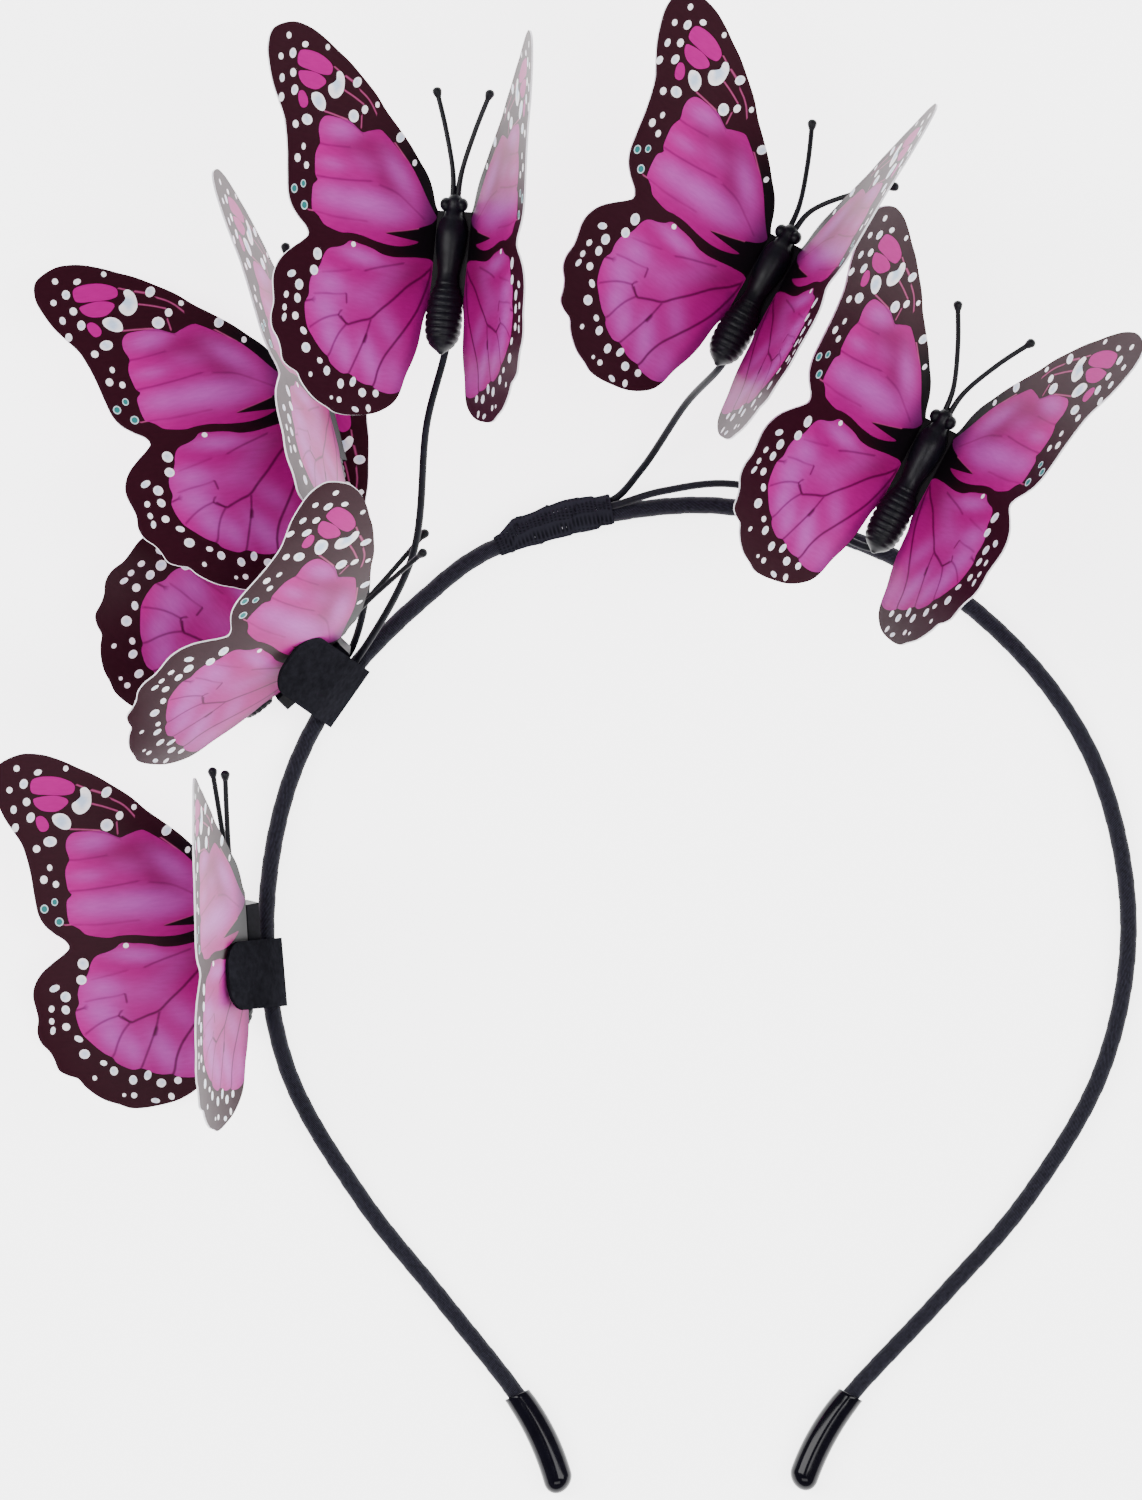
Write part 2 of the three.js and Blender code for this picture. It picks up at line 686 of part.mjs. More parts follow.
place('band', bar(BAND, BAND_RADIUS, BAND_SIDES, BAND_STEPS), 'satin');
place('cap_left', cap(0), 'gloss');
place('cap_right', cap(1), 'gloss');
place('tape_wrap', wrap(), 'tape');
PATCHES.forEach((entry) => place(`patch_${entry.butterfly}`, patch(entry), 'felt'));
STEMS.forEach((entry) => place(`stem_${entry.butterfly}`, stem(entry), 'wire'));
BUTTERFLIES.forEach((row, i) => {
  const matrix = butterflyMatrix(row);
  place(`wings_${i + 1}`, wings(row), 'print', matrix);
  place(`body_${i + 1}`, body(row), 'moulded', matrix);
  place(`base_${i + 1}`, base(), 'moulded', matrix);
});

// The part's origin: the middle of its outline, on the surface that it lies on
const box = new THREE.Box3().setFromObject(headband, true);
const middle = box.getCenter(new THREE.Vector3());
headband.position.set(-middle.x, -middle.y, -box.min.z);

export default headband;
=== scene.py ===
"""Looks of the butterfly fascinator headband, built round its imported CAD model.

Lengths in the tables are millimetres in the part's own frame, before it was centred on its
outline: across the band to the right, down from the band's top, and up from the floor.
"""
import math

import bmesh
import bpy
import numpy as np
from mathutils import Matrix, Vector
from mathutils.geometry import convex_hull_2d, delaunay_2d_cdt


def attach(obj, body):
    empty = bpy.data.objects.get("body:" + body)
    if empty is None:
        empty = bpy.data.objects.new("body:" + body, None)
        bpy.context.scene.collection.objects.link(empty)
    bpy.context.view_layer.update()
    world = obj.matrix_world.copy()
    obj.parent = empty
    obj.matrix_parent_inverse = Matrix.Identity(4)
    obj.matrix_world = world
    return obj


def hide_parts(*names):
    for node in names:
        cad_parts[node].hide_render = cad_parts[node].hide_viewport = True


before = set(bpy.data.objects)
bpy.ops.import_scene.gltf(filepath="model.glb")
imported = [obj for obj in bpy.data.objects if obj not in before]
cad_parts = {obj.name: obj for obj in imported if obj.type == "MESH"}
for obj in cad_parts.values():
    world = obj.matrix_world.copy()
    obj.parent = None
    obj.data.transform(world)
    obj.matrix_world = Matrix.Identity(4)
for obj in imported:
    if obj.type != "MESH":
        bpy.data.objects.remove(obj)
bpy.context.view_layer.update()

MM = 0.001
CENTRING = Vector((20.7018, 38.6276, 0.0))

# Sizes that the CAD part also has
BAND_HALF_WIDTH = 69.3
BAND_HEIGHT = 143.0
BAND_RADIUS = 1.3
BAND_LEVEL = 2.4
CLEARANCE = 0.3
PATCH_WIDTH = 11.0
PATCH_WALL = 0.8
WRAP_LENGTH = 18.4
WRAP_AT = 0.4408
STEM_RADIUS = 0.6
WING_REACH = 36.5
WING_LENGTH = 62.0
WING_SHEET = 0.5
ROOT_HALF_WIDTH = 2.9
ROOT_LENGTH = 15.0
BODY_LENGTH = 26.0
BODY_HALF_WIDTH = 2.6
HEAD_END = 10.2
BASE_LENGTH = 14.0
BASE_WIDTH = 3.4
BASE_DEPTH = 3.0
BASE_HEAD_END = 5.0
ANTENNA_LENGTH = 19.0
ANTENNA_RADIUS = 0.45
ANTENNA_KNOB = 0.78
CAP_LENGTH = 17.2
CAP_GRIP = 6.0
CAP_WALL = 0.45
CAP_SWELL = 0.2
CAP_LEAN = (24.5, 28.5)

# How far the middle of each end cap curves in toward the other cap
CAP_BOW = 0.9
# How much thicker its dipped coat is than in the CAD part
CAP_COAT = 0.15

# The printed film, thinner than its CAD sheet
FILM = 0.3

# The course of the band that shows: down from its top, and out to the left and right, as shares
# of its sizes
BAND_TOP_ACROSS = 0.017
BAND_COURSE = [
    (0.046, 0.461, 0.398), (0.107, 0.639, 0.615), (0.208, 0.836, 0.822),
    (0.32, 0.951, 0.946), (0.477, 1.0, 1.0), (0.633, 0.951, 0.94),
    (0.779, 0.779, 0.765), (0.89, 0.597, 0.567), (1.0, 0.418, 0.356),
]

# Where the butterflies sit and how their wings stand, as in the CAD part
BUTTERFLIES = [
    dict(across=-1.068, down=0.483, level=9.6, heading=-3.3, pitch=11.8, roll=55,
         left=dict(lift=68, bend=-24, twist=22), right=dict(lift=60, bend=-22, twist=-6),
         feelers=(4, 5)),
    dict(across=-0.891, down=0.169, level=11.4, heading=48.4, pitch=17.1, roll=74.6,
         left=dict(lift=75, bend=0, twist=-43), right=dict(lift=36, bend=22, twist=4),
         feelers=(12, 12)),
    dict(across=-0.892, down=-0.106, level=14, heading=-14.8, pitch=-16.8, roll=33,
         left=dict(lift=55.6, bend=-11, twist=-13), right=dict(lift=70, bend=1, twist=-1, tuck=5),
         feelers=(12, 12)),
    dict(across=-0.57, down=-0.275, level=40, heading=5.4, pitch=-7.9, roll=16.5,
         left=dict(lift=54, bend=0, twist=-1), right=dict(lift=52, bend=12, twist=9),
         feelers=(13, 13)),
    dict(across=0.153, down=-0.249, level=32, heading=29.1, pitch=-9.8, roll=17.9,
         left=dict(lift=47, bend=3, twist=-4), right=dict(lift=52, bend=15, twist=0),
         feelers=(16, 40)),
    dict(across=0.5125, down=-0.042, level=24, heading=28, pitch=-4.5, roll=14.2,
         left=dict(lift=55, bend=14, twist=7), right=dict(lift=43, bend=7, twist=-8),
         feelers=(20, 22)),
]

# Each stem's bends: how far along, how far to the right, and the share of its rise
STEMS = [
    dict(butterfly=3, source="patch", seat=10, bends=[(0.32, 0.115, 0.7), (0.66, 0.12, 1.2)]),
    dict(butterfly=4, source="patch", seat=75, bends=[(0.32, 0.076, 0.39), (0.7, 0.018, 0.85)]),
    dict(butterfly=5, source="wrap", seat=5, bends=[(0.2, 0.02, 0.1), (0.58, -0.002, 0.5)]),
    dict(butterfly=6, source="wrap", seat=55, bends=[(0.17, -0.06, 0.12), (0.45, -0.096, 0.4)]),
]

# Which butterflies a patch holds to the band, how far its lips lie up their wings, and how far
# it sits from the middle of the clip block to the tail
PATCHES = [
    dict(butterfly=1, left=2.5, right=9.5, slide=4.2),
    dict(butterfly=2, left=4.0, right=9.5, slide=0.0),
]

UP = Vector((0.0, 0.0, 1.0))


def smooth_step(value, low, high):
    """0 below low, 1 above high, and a smooth rise in between."""
    t = np.clip((value - low) / (high - low), 0.0, 1.0)
    return t * t * (3 - 2 * t)


def linear(colour):
    """An sRGB colour of 0 to 255 as a linear one, with the numbers of the sRGB standard."""
    made = []
    for c in colour:
        s = c / 255
        made.append(s / 12.92 if s <= 0.04045 else ((s + 0.055) / 1.055) ** 2.4)
    return np.array(made)


def add_object(name, data):
    made = bpy.data.objects.new(name, data)
    bpy.context.scene.collection.objects.link(made)
    return made


def add_mesh(name, points, faces, sharp=None):
    """A smooth mesh object from points in millimetres, in the part's frame."""
    mesh = bpy.data.meshes.new(name)
    mesh.from_pydata([tuple((Vector(p) + CENTRING) * MM) for p in points], [], faces)
    mesh.validate()
    mesh.polygons.foreach_set("use_smooth", [True] * len(mesh.polygons))
    if sharp:
        mesh.set_sharp_from_angle(angle=math.radians(sharp))
    return add_object(name, mesh)


def add_bevel(thing, width, angle):
    """Rounds the edges of a piece that are sharper than an angle."""
    edge = thing.modifiers.new("edge", "BEVEL")
    edge.width = width * MM
    edge.segments = 3
    edge.limit_method = "ANGLE"
    edge.angle_limit = math.radians(angle)


def catmull_rom(points, steps=24):
    """A centripetal curve through points, as a close run of points."""
    ends = [2 * points[0] - points[1], *points, 2 * points[-1] - points[-2]]
    made = []
    for i in range(1, len(ends) - 2):
        p0, p1, p2, p3 = ends[i - 1:i + 3]
        d0, d1, d2 = (max((b - a).length ** 0.5, 1e-6) for a, b in ((p0, p1), (p1, p2), (p2, p3)))
        t1 = ((p1 - p0) / d0 - (p2 - p0) / (d0 + d1) + (p2 - p1) / d1) * d1
        t2 = ((p2 - p1) / d1 - (p3 - p1) / (d1 + d2) + (p3 - p2) / d2) * d1
        for k in range(steps):
            t = k / steps
            made.append(p1 * (2 * t ** 3 - 3 * t ** 2 + 1) + t1 * (t ** 3 - 2 * t ** 2 + t)
                        + p2 * (3 * t ** 2 - 2 * t ** 3) + t2 * (t ** 3 - t ** 2))
    return [*made, points[-1].copy()]


class Run:
    """A run of points that can be read at a length along it."""

    # Its way is taken between two points this share of its length to either side
    STEP = 1 / 400

    def __init__(self, points):
        self.points = np.array([tuple(p) for p in points])
        gaps = np.linalg.norm(np.diff(self.points, axis=0), axis=1)
        self.marks = np.concatenate([[0.0], np.cumsum(gaps)])
        self.length = float(self.marks[-1])

    def at(self, length):
        return Vector([float(np.interp(length, self.marks, self.points[:, k])) for k in range(3)])

    def way(self, length):
        step = self.length * self.STEP
        a, b = max(0.0, length - step), min(self.length, length + step)
        return (self.at(b) - self.at(a)).normalized()


def tube_faces(rings, sides):
    """The wall and the two ends of a tube whose points come ring by ring."""
    faces = []
    for i in range(rings - 1):
        for k in range(sides):
            a, b = i * sides + k, i * sides + (k + 1) % sides
            faces.append((a, b, b + sides, a + sides))
    faces.append(tuple(range(sides))[::-1])
    faces.append(tuple((rings - 1) * sides + k for k in range(sides)))
    return faces


def sweep(run, rings, sides, radius):
    """A tube along a run, with a radius for each length and angle: points, faces and places."""
    points, places = [], []
    out = UP.cross(run.way(0)).normalized()
    for i in range(rings):
        s = run.length * i / (rings - 1)
        way = run.way(s)
        out = (out - way * out.dot(way)).normalized()
        up = way.cross(out)
        centre = run.at(s)
        for k in range(sides):
            angle = 2 * math.pi * k / sides
            r = radius(s, angle)
            points.append(centre + out * (r * math.cos(angle)) + up * (r * math.sin(angle)))
            places.append((s, angle))
    return points, tube_faces(rings, sides), places


def add_map(thing, uvs):
    """A UV map from one pair for each vertex."""
    layer = thing.data.uv_layers.new(name="run")
    for loop in thing.data.loops:
        layer.data[loop.index].uv = uvs[loop.vertex_index]


def new_material(name):
    made = bpy.data.materials.new(name)
    made.use_nodes = True
    tree = made.node_tree
    return made, tree, tree.nodes["Principled BSDF"]


def fill(tree, made, **values):
    """Sets or links a shader node's inputs by their names, and its properties by theirs."""
    for key, value in values.items():
        label = key.replace("_", " ")
        if label not in made.inputs:
            setattr(made, key, value)
        elif isinstance(value, bpy.types.NodeSocket):
            tree.links.new(value, made.inputs[label])
        else:
            made.inputs[label].default_value = value
    return made


def node(tree, kind, **values):
    return fill(tree, tree.nodes.new(kind), **values)


def uv_place(tree, name):
    return node(tree, "ShaderNodeUVMap", uv_map=name).outputs["UV"]


def object_place(tree):
    return node(tree, "ShaderNodeTexCoord").outputs["Object"]


def noise(tree, where, scale, detail, roughness=0.5):
    return node(tree, "ShaderNodeTexNoise", Vector=where, Scale=scale, Detail=detail,
                Roughness=roughness).outputs["Fac"]


def wave(tree, where, direction, scale, distortion, detail):
    return node(tree, "ShaderNodeTexWave", wave_type="BANDS", bands_direction=direction,
                Vector=where, Scale=scale, Distortion=distortion, Detail=detail).outputs["Fac"]


def stretched(tree, where, scale):
    return node(tree, "ShaderNodeMapping", Vector=where, Scale=scale).outputs["Vector"]


def product(tree, first, second):
    made = node(tree, "ShaderNodeMath", operation="MULTIPLY")
    tree.links.new(first, made.inputs[0])
    tree.links.new(second, made.inputs[1])
    return made.outputs[0]


def spread(tree, value, low, high, **limits):
    """A value spread over low to high."""
    made = node(tree, "ShaderNodeMapRange", Value=value, To_Min=low, To_Max=high, **limits)
    return made.outputs["Result"]


def ramp(tree, source, stops):
    """A colour ramp on a value, from (place, colour) pairs."""
    made = tree.nodes.new("ShaderNodeValToRGB")
    elements = made.color_ramp.elements
    while len(elements) < len(stops):
        elements.new(0.5)
    for element, (place, colour) in zip(elements, stops):
        element.position = place
        element.color = (*colour, 1)
    tree.links.new(source, made.inputs["Fac"])
    return made.outputs["Color"]


def bump(tree, shader, height, strength, distance):
    made = node(tree, "ShaderNodeBump", Height=height, Strength=strength, Distance=distance * MM)
    tree.links.new(made.outputs["Normal"], shader.inputs["Normal"])


# How much coarser a grain's broad mottle is than the grain itself
BROAD = 14


def grain_material(name, dark, light, scale, rough, bumpiness, depth, specular):
    """A dark material with a fine noise grain in its colour, roughness and surface."""
    made, tree, shader = new_material(name)
    where = object_place(tree)
    grain = noise(tree, where, scale, 5.0, 0.6)
    both = product(tree, grain, noise(tree, where, scale / BROAD, 2.0))
    stops = [(0.12, linear(dark)), (0.42, linear(light))]
    fill(tree, shader, Base_Color=ramp(tree, both, stops), Roughness=spread(tree, grain, *rough),
         Specular_IOR_Level=specular)
    bump(tree, shader, grain, bumpiness, depth)
    return made


def ribbon_material():
    """Satin ribbon wound on the slant: fine threads along the winding, seen in the UV map."""
    made, tree, shader = new_material("satin_ribbon")
    where = uv_place(tree, "run")
    threads = wave(tree, stretched(tree, where, (1.25, 0.8, 1.0)), "DIAGONAL", 1.0, 0.6, 1.0)
    mixed = product(tree, threads, noise(tree, where, 1.2, 4.0))
    stops = [(0.08, linear((6, 6, 9))), (0.5, linear((44, 43, 55)))]
    fill(tree, shader, Base_Color=ramp(tree, mixed, stops), Roughness=0.55,
         Specular_IOR_Level=0.06)
    bump(tree, shader, mixed, 0.5, 0.08)
    return made


def tape_material():
    """Open woven tape: a grid of dark threads, with painted light in a few gaps between them."""
    made, tree, shader = new_material("woven_tape")
    where = uv_place(tree, "run")
    weave = product(tree, wave(tree, where, "X", 0.5, 0.9, 2.0),
                    wave(tree, where, "Y", 0.46, 0.9, 2.0))
    mixed = product(tree, weave, noise(tree, where, 0.9, 5.0))
    # The last, pale grey stop is painted light: a painted highlight in the weave's gaps
    stops = [(0.0, linear((34, 34, 41))), (0.35, linear((21, 21, 26))),
             (0.6, linear((15, 15, 19))), (0.66, linear((190, 190, 200)))]
    fill(tree, shader, Base_Color=ramp(tree, mixed, stops), Roughness=0.8, Specular_IOR_Level=0.0)
    bump(tree, shader, weave, 0.45, -0.12)
    return made


def film_material():
    """Printed film: the print's colours with fine streaks of ink under a clear glossy face."""
    made, tree, shader = new_material("printed_film")
    ink = node(tree, "ShaderNodeVertexColor", layer_name="print")
    where = uv_place(tree, "print_map")
    streaks = noise(tree, stretched(tree, where, (0.35, 1.6, 1.0)), 1.3, 4.0, 0.55)
    tone = spread(tree, streaks, 0.92, 1.06, From_Min=0.3, From_Max=0.7)
    mixed = node(tree, "ShaderNodeMix", data_type="RGBA", blend_type="MULTIPLY", Factor=1.0,
                 A=ink.outputs["Color"], B=tone)
    fill(tree, shader, Base_Color=mixed.outputs["Result"], Roughness=0.4,
         Specular_IOR_Level=0.07, Coat_Weight=0.01, Coat_Roughness=0.2)
    bump(tree, shader, noise(tree, where, 0.12, 1.0), 0.25, 0.5)
    return made


def floor_material():
    made, tree, shader = new_material("pale_floor")
    mottle = noise(tree, object_place(tree), 9.0, 2.0)
    stops = [(0.0, (0.92, 0.92, 0.92)), (1.0, (0.95, 0.95, 0.95))]
    fill(tree, shader, Base_Color=ramp(tree, mottle, stops), Roughness=0.9,
         Emission_Color=(1, 1, 1, 1), Emission_Strength=3.6)
    return made


RIBBON = ribbon_material()
TAPE = tape_material()
PRINT = film_material()
# Darkest and lightest colour, grain, roughness, bump and its depth in mm, and specular level
LEATHER = grain_material("patch_leather", (16, 16, 19), (31, 31, 36), 900.0, (0.6, 0.85),
                         0.35, 0.12, 0.0)
MOULDED = grain_material("moulded_plastic", (6, 6, 10), (16, 15, 23), 1400.0, (0.34, 0.46),
                         0.12, 0.05, 0.16)
COATED = grain_material("coated_wire", (9, 9, 14), (22, 22, 32), 1100.0, (0.45, 0.6),
                        0.15, 0.05, 0.1)
GLOSS = grain_material("gloss_cap", (5, 4, 10), (13, 12, 22), 500.0, (0.1, 0.16),
                       0.03, 0.03, 0.16)


# Millimetres to a pixel of the photograph, its size in pixels, and the pixel at the middle of
# the band's top
PIXEL = 0.16
PHOTO_WIDE, PHOTO_HIGH = 1142, 1500
TOP_ACROSS, TOP_DOWN = 697.8, 504.0
# The lens and the width behind it, both in mm, and the level that the camera is aimed at
LENS = 1000.0
SENSOR = 36.0
VIEW_LEVEL = 32.0
view_x = (PHOTO_WIDE / 2 - TOP_ACROSS) * PIXEL
view_y = (TOP_DOWN - PHOTO_HIGH / 2) * PIXEL
VIEW_CENTRE = (Vector((view_x, view_y, VIEW_LEVEL)) + CENTRING) * MM

view_span = PHOTO_HIGH * PIXEL * MM
camera_data = bpy.data.cameras.new("camera")
camera_data.sensor_fit = "AUTO"
camera_data.sensor_width = SENSOR
camera_data.lens = LENS
camera_data.clip_end = 100.0
camera = add_object("camera", camera_data)
camera.location = VIEW_CENTRE + UP * (view_span * LENS / SENSOR)
bpy.context.scene.camera = camera


def soft_light(name, place, size, power):
    """A wide lamp at a place in metres, aimed at the middle of the floor."""
    data = bpy.data.lights.new(name, "AREA")
    data.shape = "RECTANGLE"
    data.size, data.size_y = size
    data.energy = power
    lamp = add_object(name, data)
    lamp.location = place
    lamp.rotation_mode = "QUATERNION"
    lamp.rotation_quaternion = (-Vector(place)).to_track_quat("-Z", "Y")


soft_light("left", (-0.85, 0.25, 1.4), (0.5, 1.4), 25.0)
soft_light("right", (0.9, -0.1, 1.5), (0.6, 1.4), 25.0)
soft_light("near", (0.0, -1.1, 1.3), (1.4, 0.5), 11.0)

# A dim studio, so that the wings mirror little but the lit table
world = bpy.data.worlds.new("studio")
bpy.context.scene.world = world
world.use_nodes = True
studio = world.node_tree
backdrop = studio.nodes["Background"]
way_up = node(studio, "ShaderNodeTexCoord")
split = node(studio, "ShaderNodeSeparateXYZ")
studio.links.new(way_up.outputs["Generated"], split.inputs["Vector"])
sky = [(0.0, (1.0, 1.0, 1.0)), (0.1, (0.45, 0.45, 0.46)), (0.85, (0.22, 0.22, 0.24))]
studio.links.new(ramp(studio, split.outputs["Z"], sky), backdrop.inputs["Color"])
backdrop.inputs["Strength"].default_value = 0.9

# The floor's half width and its level, a little below the part, in metres
FLOOR_REACH = 3.0
FLOOR_LEVEL = -0.0002
floor_mesh = bpy.data.meshes.new("floor")
corners = [(x * FLOOR_REACH, y * FLOOR_REACH, FLOOR_LEVEL)
           for x, y in ((-1, -1), (1, -1), (1, 1), (-1, 1))]
floor_mesh.from_pydata(corners, [], [(0, 1, 2, 3)])
floor = add_object("floor", floor_mesh)
floor.data.materials.append(floor_material())


def band_point(side, row):
    down, left, right = row
    reach = BAND_HALF_WIDTH * (left if side < 0 else right)
    return Vector((side * reach, -BAND_HEIGHT * down, BAND_LEVEL))


band_top = Vector((BAND_TOP_ACROSS * BAND_HALF_WIDTH, 0, BAND_LEVEL))
band_marks = [band_point(-1, row) for row in reversed(BAND_COURSE)]
band_marks += [band_top] + [band_point(1, row) for row in BAND_COURSE]


def cap_axis(side):
    """The way an end cap points, and the way its middle curves."""
    lean = math.radians(CAP_LEAN[0] if side < 0 else CAP_LEAN[1])
    way = Vector((-side * math.sin(lean), -math.cos(lean), 0))
    return way, Vector((side * way.y, -side * way.x, 0))


def cap_curve(height):
    """How far the cap's middle line stands off its straight axis, at a height from the end of
    the band."""
    share = (height + CAP_GRIP) / CAP_LENGTH
    return 4 * CAP_BOW * share * (1 - share)


def band_end(side, mouth):
    way, inward = cap_axis(side)
    return mouth + way * CAP_GRIP + inward * cap_curve(0.0)


CAP_MOUTHS = {-1: band_marks[0], 1: band_marks[-1]}
band_marks = [band_end(-1, CAP_MOUTHS[-1]), *band_marks, band_end(1, CAP_MOUTHS[1])]
BAND = Run(catmull_rom(band_marks))


def band_frame(share):
    """The band's centre, its way along and its outward side, at a share of its length."""
    origin = BAND.at(share * BAND.length)
    along = BAND.way(share * BAND.length)
    return origin, along, UP.cross(along).normalized()


def nearest_share(point):
    flat = BAND.points[:, :2] - np.array(point[:2])
    return float(BAND.marks[int(np.argmin(np.linalg.norm(flat, axis=1)))] / BAND.length)


def finish_piece(thing, material, node_name):
    thing.data.materials.append(material)
    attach(thing, "root")
    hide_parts(node_name)


# The ribbon's turns: how far apart they are, how much of a turn lies over the last one, and how
# high that step is
RIBBON_PITCH = 4.2
RIBBON_LAP = 0.1
RIBBON_STEP = 0.07
# The ribbon's loose weave stands a little proud of the bar that stands for it
RIBBON_PROUD = 0.08
BAND_RINGS = 1500
BAND_SIDES = 24


def ribbon_radius(s, angle):
    """Each turn of the ribbon lies a little over the one before."""
    turn = (s / RIBBON_PITCH + angle / (2 * math.pi)) % 1.0
    step = min(turn / (1 - RIBBON_LAP), (1 - turn) / RIBBON_LAP) - 0.5
    return BAND_RADIUS + RIBBON_PROUD + RIBBON_STEP * step


points, faces, places = sweep(BAND, BAND_RINGS, BAND_SIDES, ribbon_radius)
band = add_mesh("band_ribbon", points, faces)
# The map runs slantwise, as the ribbon is wound
around = BAND_RADIUS
add_map(band, [(s + angle * around, angle * around * 2 - s * 0.5) for s, angle in places])
finish_piece(band, RIBBON, "band")

# The end caps: where the hole ends, the rim at the mouth as steps in and up from its inner or
# outer edge, the finest ring at the tip, and how finely they are made
CAP_HOLE_END = 0.3 + CLEARANCE
RIM_INNER = [(0.0, 0.1), (0.15, -0.05)]
RIM_OUTER = [(-0.14, -0.05), (-0.03, 0.12), (-0.05, 0.5)]
CAP_RIM = 0.5
CAP_POLE = 0.03
CAP_SIDES = 48
CAP_STEPS = 12
HOLE_STEPS = 8


def lathe(profile, sides, origin, way, inward):
    """A turned form from (radius, height) pairs, with its axis along way, curved inward."""
    across = way.cross(UP).normalized()
    up = across.cross(way)
    points = []
    for radius, height in profile:
        middle = origin + way * height + inward * cap_curve(height)
        for k in range(sides):
            angle = 2 * math.pi * k / sides
            points.append(middle + across * (radius * math.cos(angle))
                          + up * (radius * math.sin(angle)))
    # The rings run the other way round here than in a sweep, so each face is turned over
    return points, [(face[0], *face[:0:-1]) for face in tube_faces(len(profile), sides)]


def cap_profile():
    hole = BAND_RADIUS + CLEARANCE
    mouth = BAND_RADIUS + CLEARANCE + CAP_WALL + CAP_COAT
    full = mouth + CAP_SWELL
    start = CAP_RIM - CAP_GRIP
    rounding = CAP_LENGTH - CAP_GRIP - full
    profile = [(hole, CAP_HOLE_END - k * (CAP_GRIP + CAP_RIM) / HOLE_STEPS)
               for k in range(HOLE_STEPS)]
    profile += [(hole + out, up - CAP_GRIP) for out, up in RIM_INNER]
    profile += [(mouth + out, up - CAP_GRIP) for out, up in RIM_OUTER]
    for k in range(1, CAP_STEPS + 1):
        t = k / CAP_STEPS
        swell = mouth + (full - mouth) * math.sin(t * math.pi / 2)
        profile.append((swell, start + (rounding - start) * t))
    for k in range(1, CAP_STEPS + 1):
        angle = math.pi / 2 * k / CAP_STEPS
        profile.append((max(full * math.cos(angle), CAP_POLE), rounding + full * math.sin(angle)))
    return profile


for cap_name, side in (("cap_left", -1), ("cap_right", 1)):
    way, inward = cap_axis(side)
    end = CAP_MOUTHS[side] + way * CAP_GRIP
    points, faces = lathe(cap_profile(), CAP_SIDES, end, way, inward)
    cap = add_mesh(cap_name + "_gloss", points, faces, sharp=60)
    finish_piece(cap, GLOSS, cap_name)


def butterfly_matrix(row):
    h, p, r = (math.radians(row[key]) for key in ("heading", "pitch", "roll"))
    head = Vector((math.sin(h) * math.cos(p), math.cos(h) * math.cos(p), math.sin(p)))
    level = Vector((math.cos(h), -math.sin(h), 0))
    lifted = level.cross(head)
    side = level * math.cos(r) + lifted * math.sin(r)
    back = side.cross(head)
    place = (row["across"] * BAND_HALF_WIDTH, -row["down"] * BAND_HEIGHT, row["level"])
    made = Matrix((side, head, back)).transposed().to_4x4()
    made.translation = place
    return made


def wing_point(wing, side, out, along, off):
    """A point of a wing: out from its root along the sheet, along the body, and off the sheet."""
    share = along / WING_LENGTH
    tucked = wing.get("tuck", 0) * (2 * max(0.0, -share)) ** 2
    start = math.radians(wing["lift"] + wing["twist"] * share + tucked)
    curl = math.radians(wing["bend"] or 0.01) / WING_REACH
    angle = start + curl * out
    x = (math.sin(angle) - math.sin(start)) / curl - off * math.sin(angle)
    z = (math.cos(start) - math.cos(angle)) / curl + off * math.cos(angle)
    return Vector((side * (ROOT_HALF_WIDTH + x), along, z))


MATRICES = [butterfly_matrix(row) for row in BUTTERFLIES]


# The wing's print. Its places are (out from the wing's root, up to the head from its middle).

FORE_EDGE = [
    (0, 7.4), (0.6, 8.4), (1.5, 10.8), (2.7, 12.8), (4.5, 14.7), (6.8, 17.1), (9.8, 19.7),
    (12.1, 21.6), (14.5, 24), (17.4, 26.2), (20.4, 28.3), (23, 29.7), (25.1, 30.9), (28, 32.2),
    (30.1, 32.7), (32.1, 32.8), (34.8, 31.9), (36.2, 30.8), (36.8, 28.1), (36.2, 25.2),
    (35.1, 22.2), (33.6, 19.6), (32.4, 17.5), (31.7, 15.2), (31.1, 12.2), (30.6, 8.1),
    (30.1, 5.2), (29.2, 3.4), (27.7, 1.9), (25.9, 0.5), (25.4, -0.6),
]
HIND_EDGE = [
    (25.4, -0.6), (26.4, -1.7), (28.1, -3), (30.2, -4.9), (31.4, -7), (31.7, -8.8), (31.3, -11.1),
    (31.1, -12.6), (31.4, -14.9), (30.9, -16.7), (29.6, -18.2), (28.9, -19.6), (28.3, -21.4),
    (26.9, -22.3), (25.2, -22.9), (24.3, -24.1), (22.5, -25.7), (20.8, -26.7), (18.7, -27.4),
    (17.2, -28), (15.2, -28.1), (12.2, -27.7), (9.3, -27), (6.9, -25.8), (5.2, -24.4),
    (4.3, -22.9), (3.4, -19.9), (2.2, -17), (1.5, -14.6), (1.2, -12.6), (0.8, -9.9), (0, -8),
]
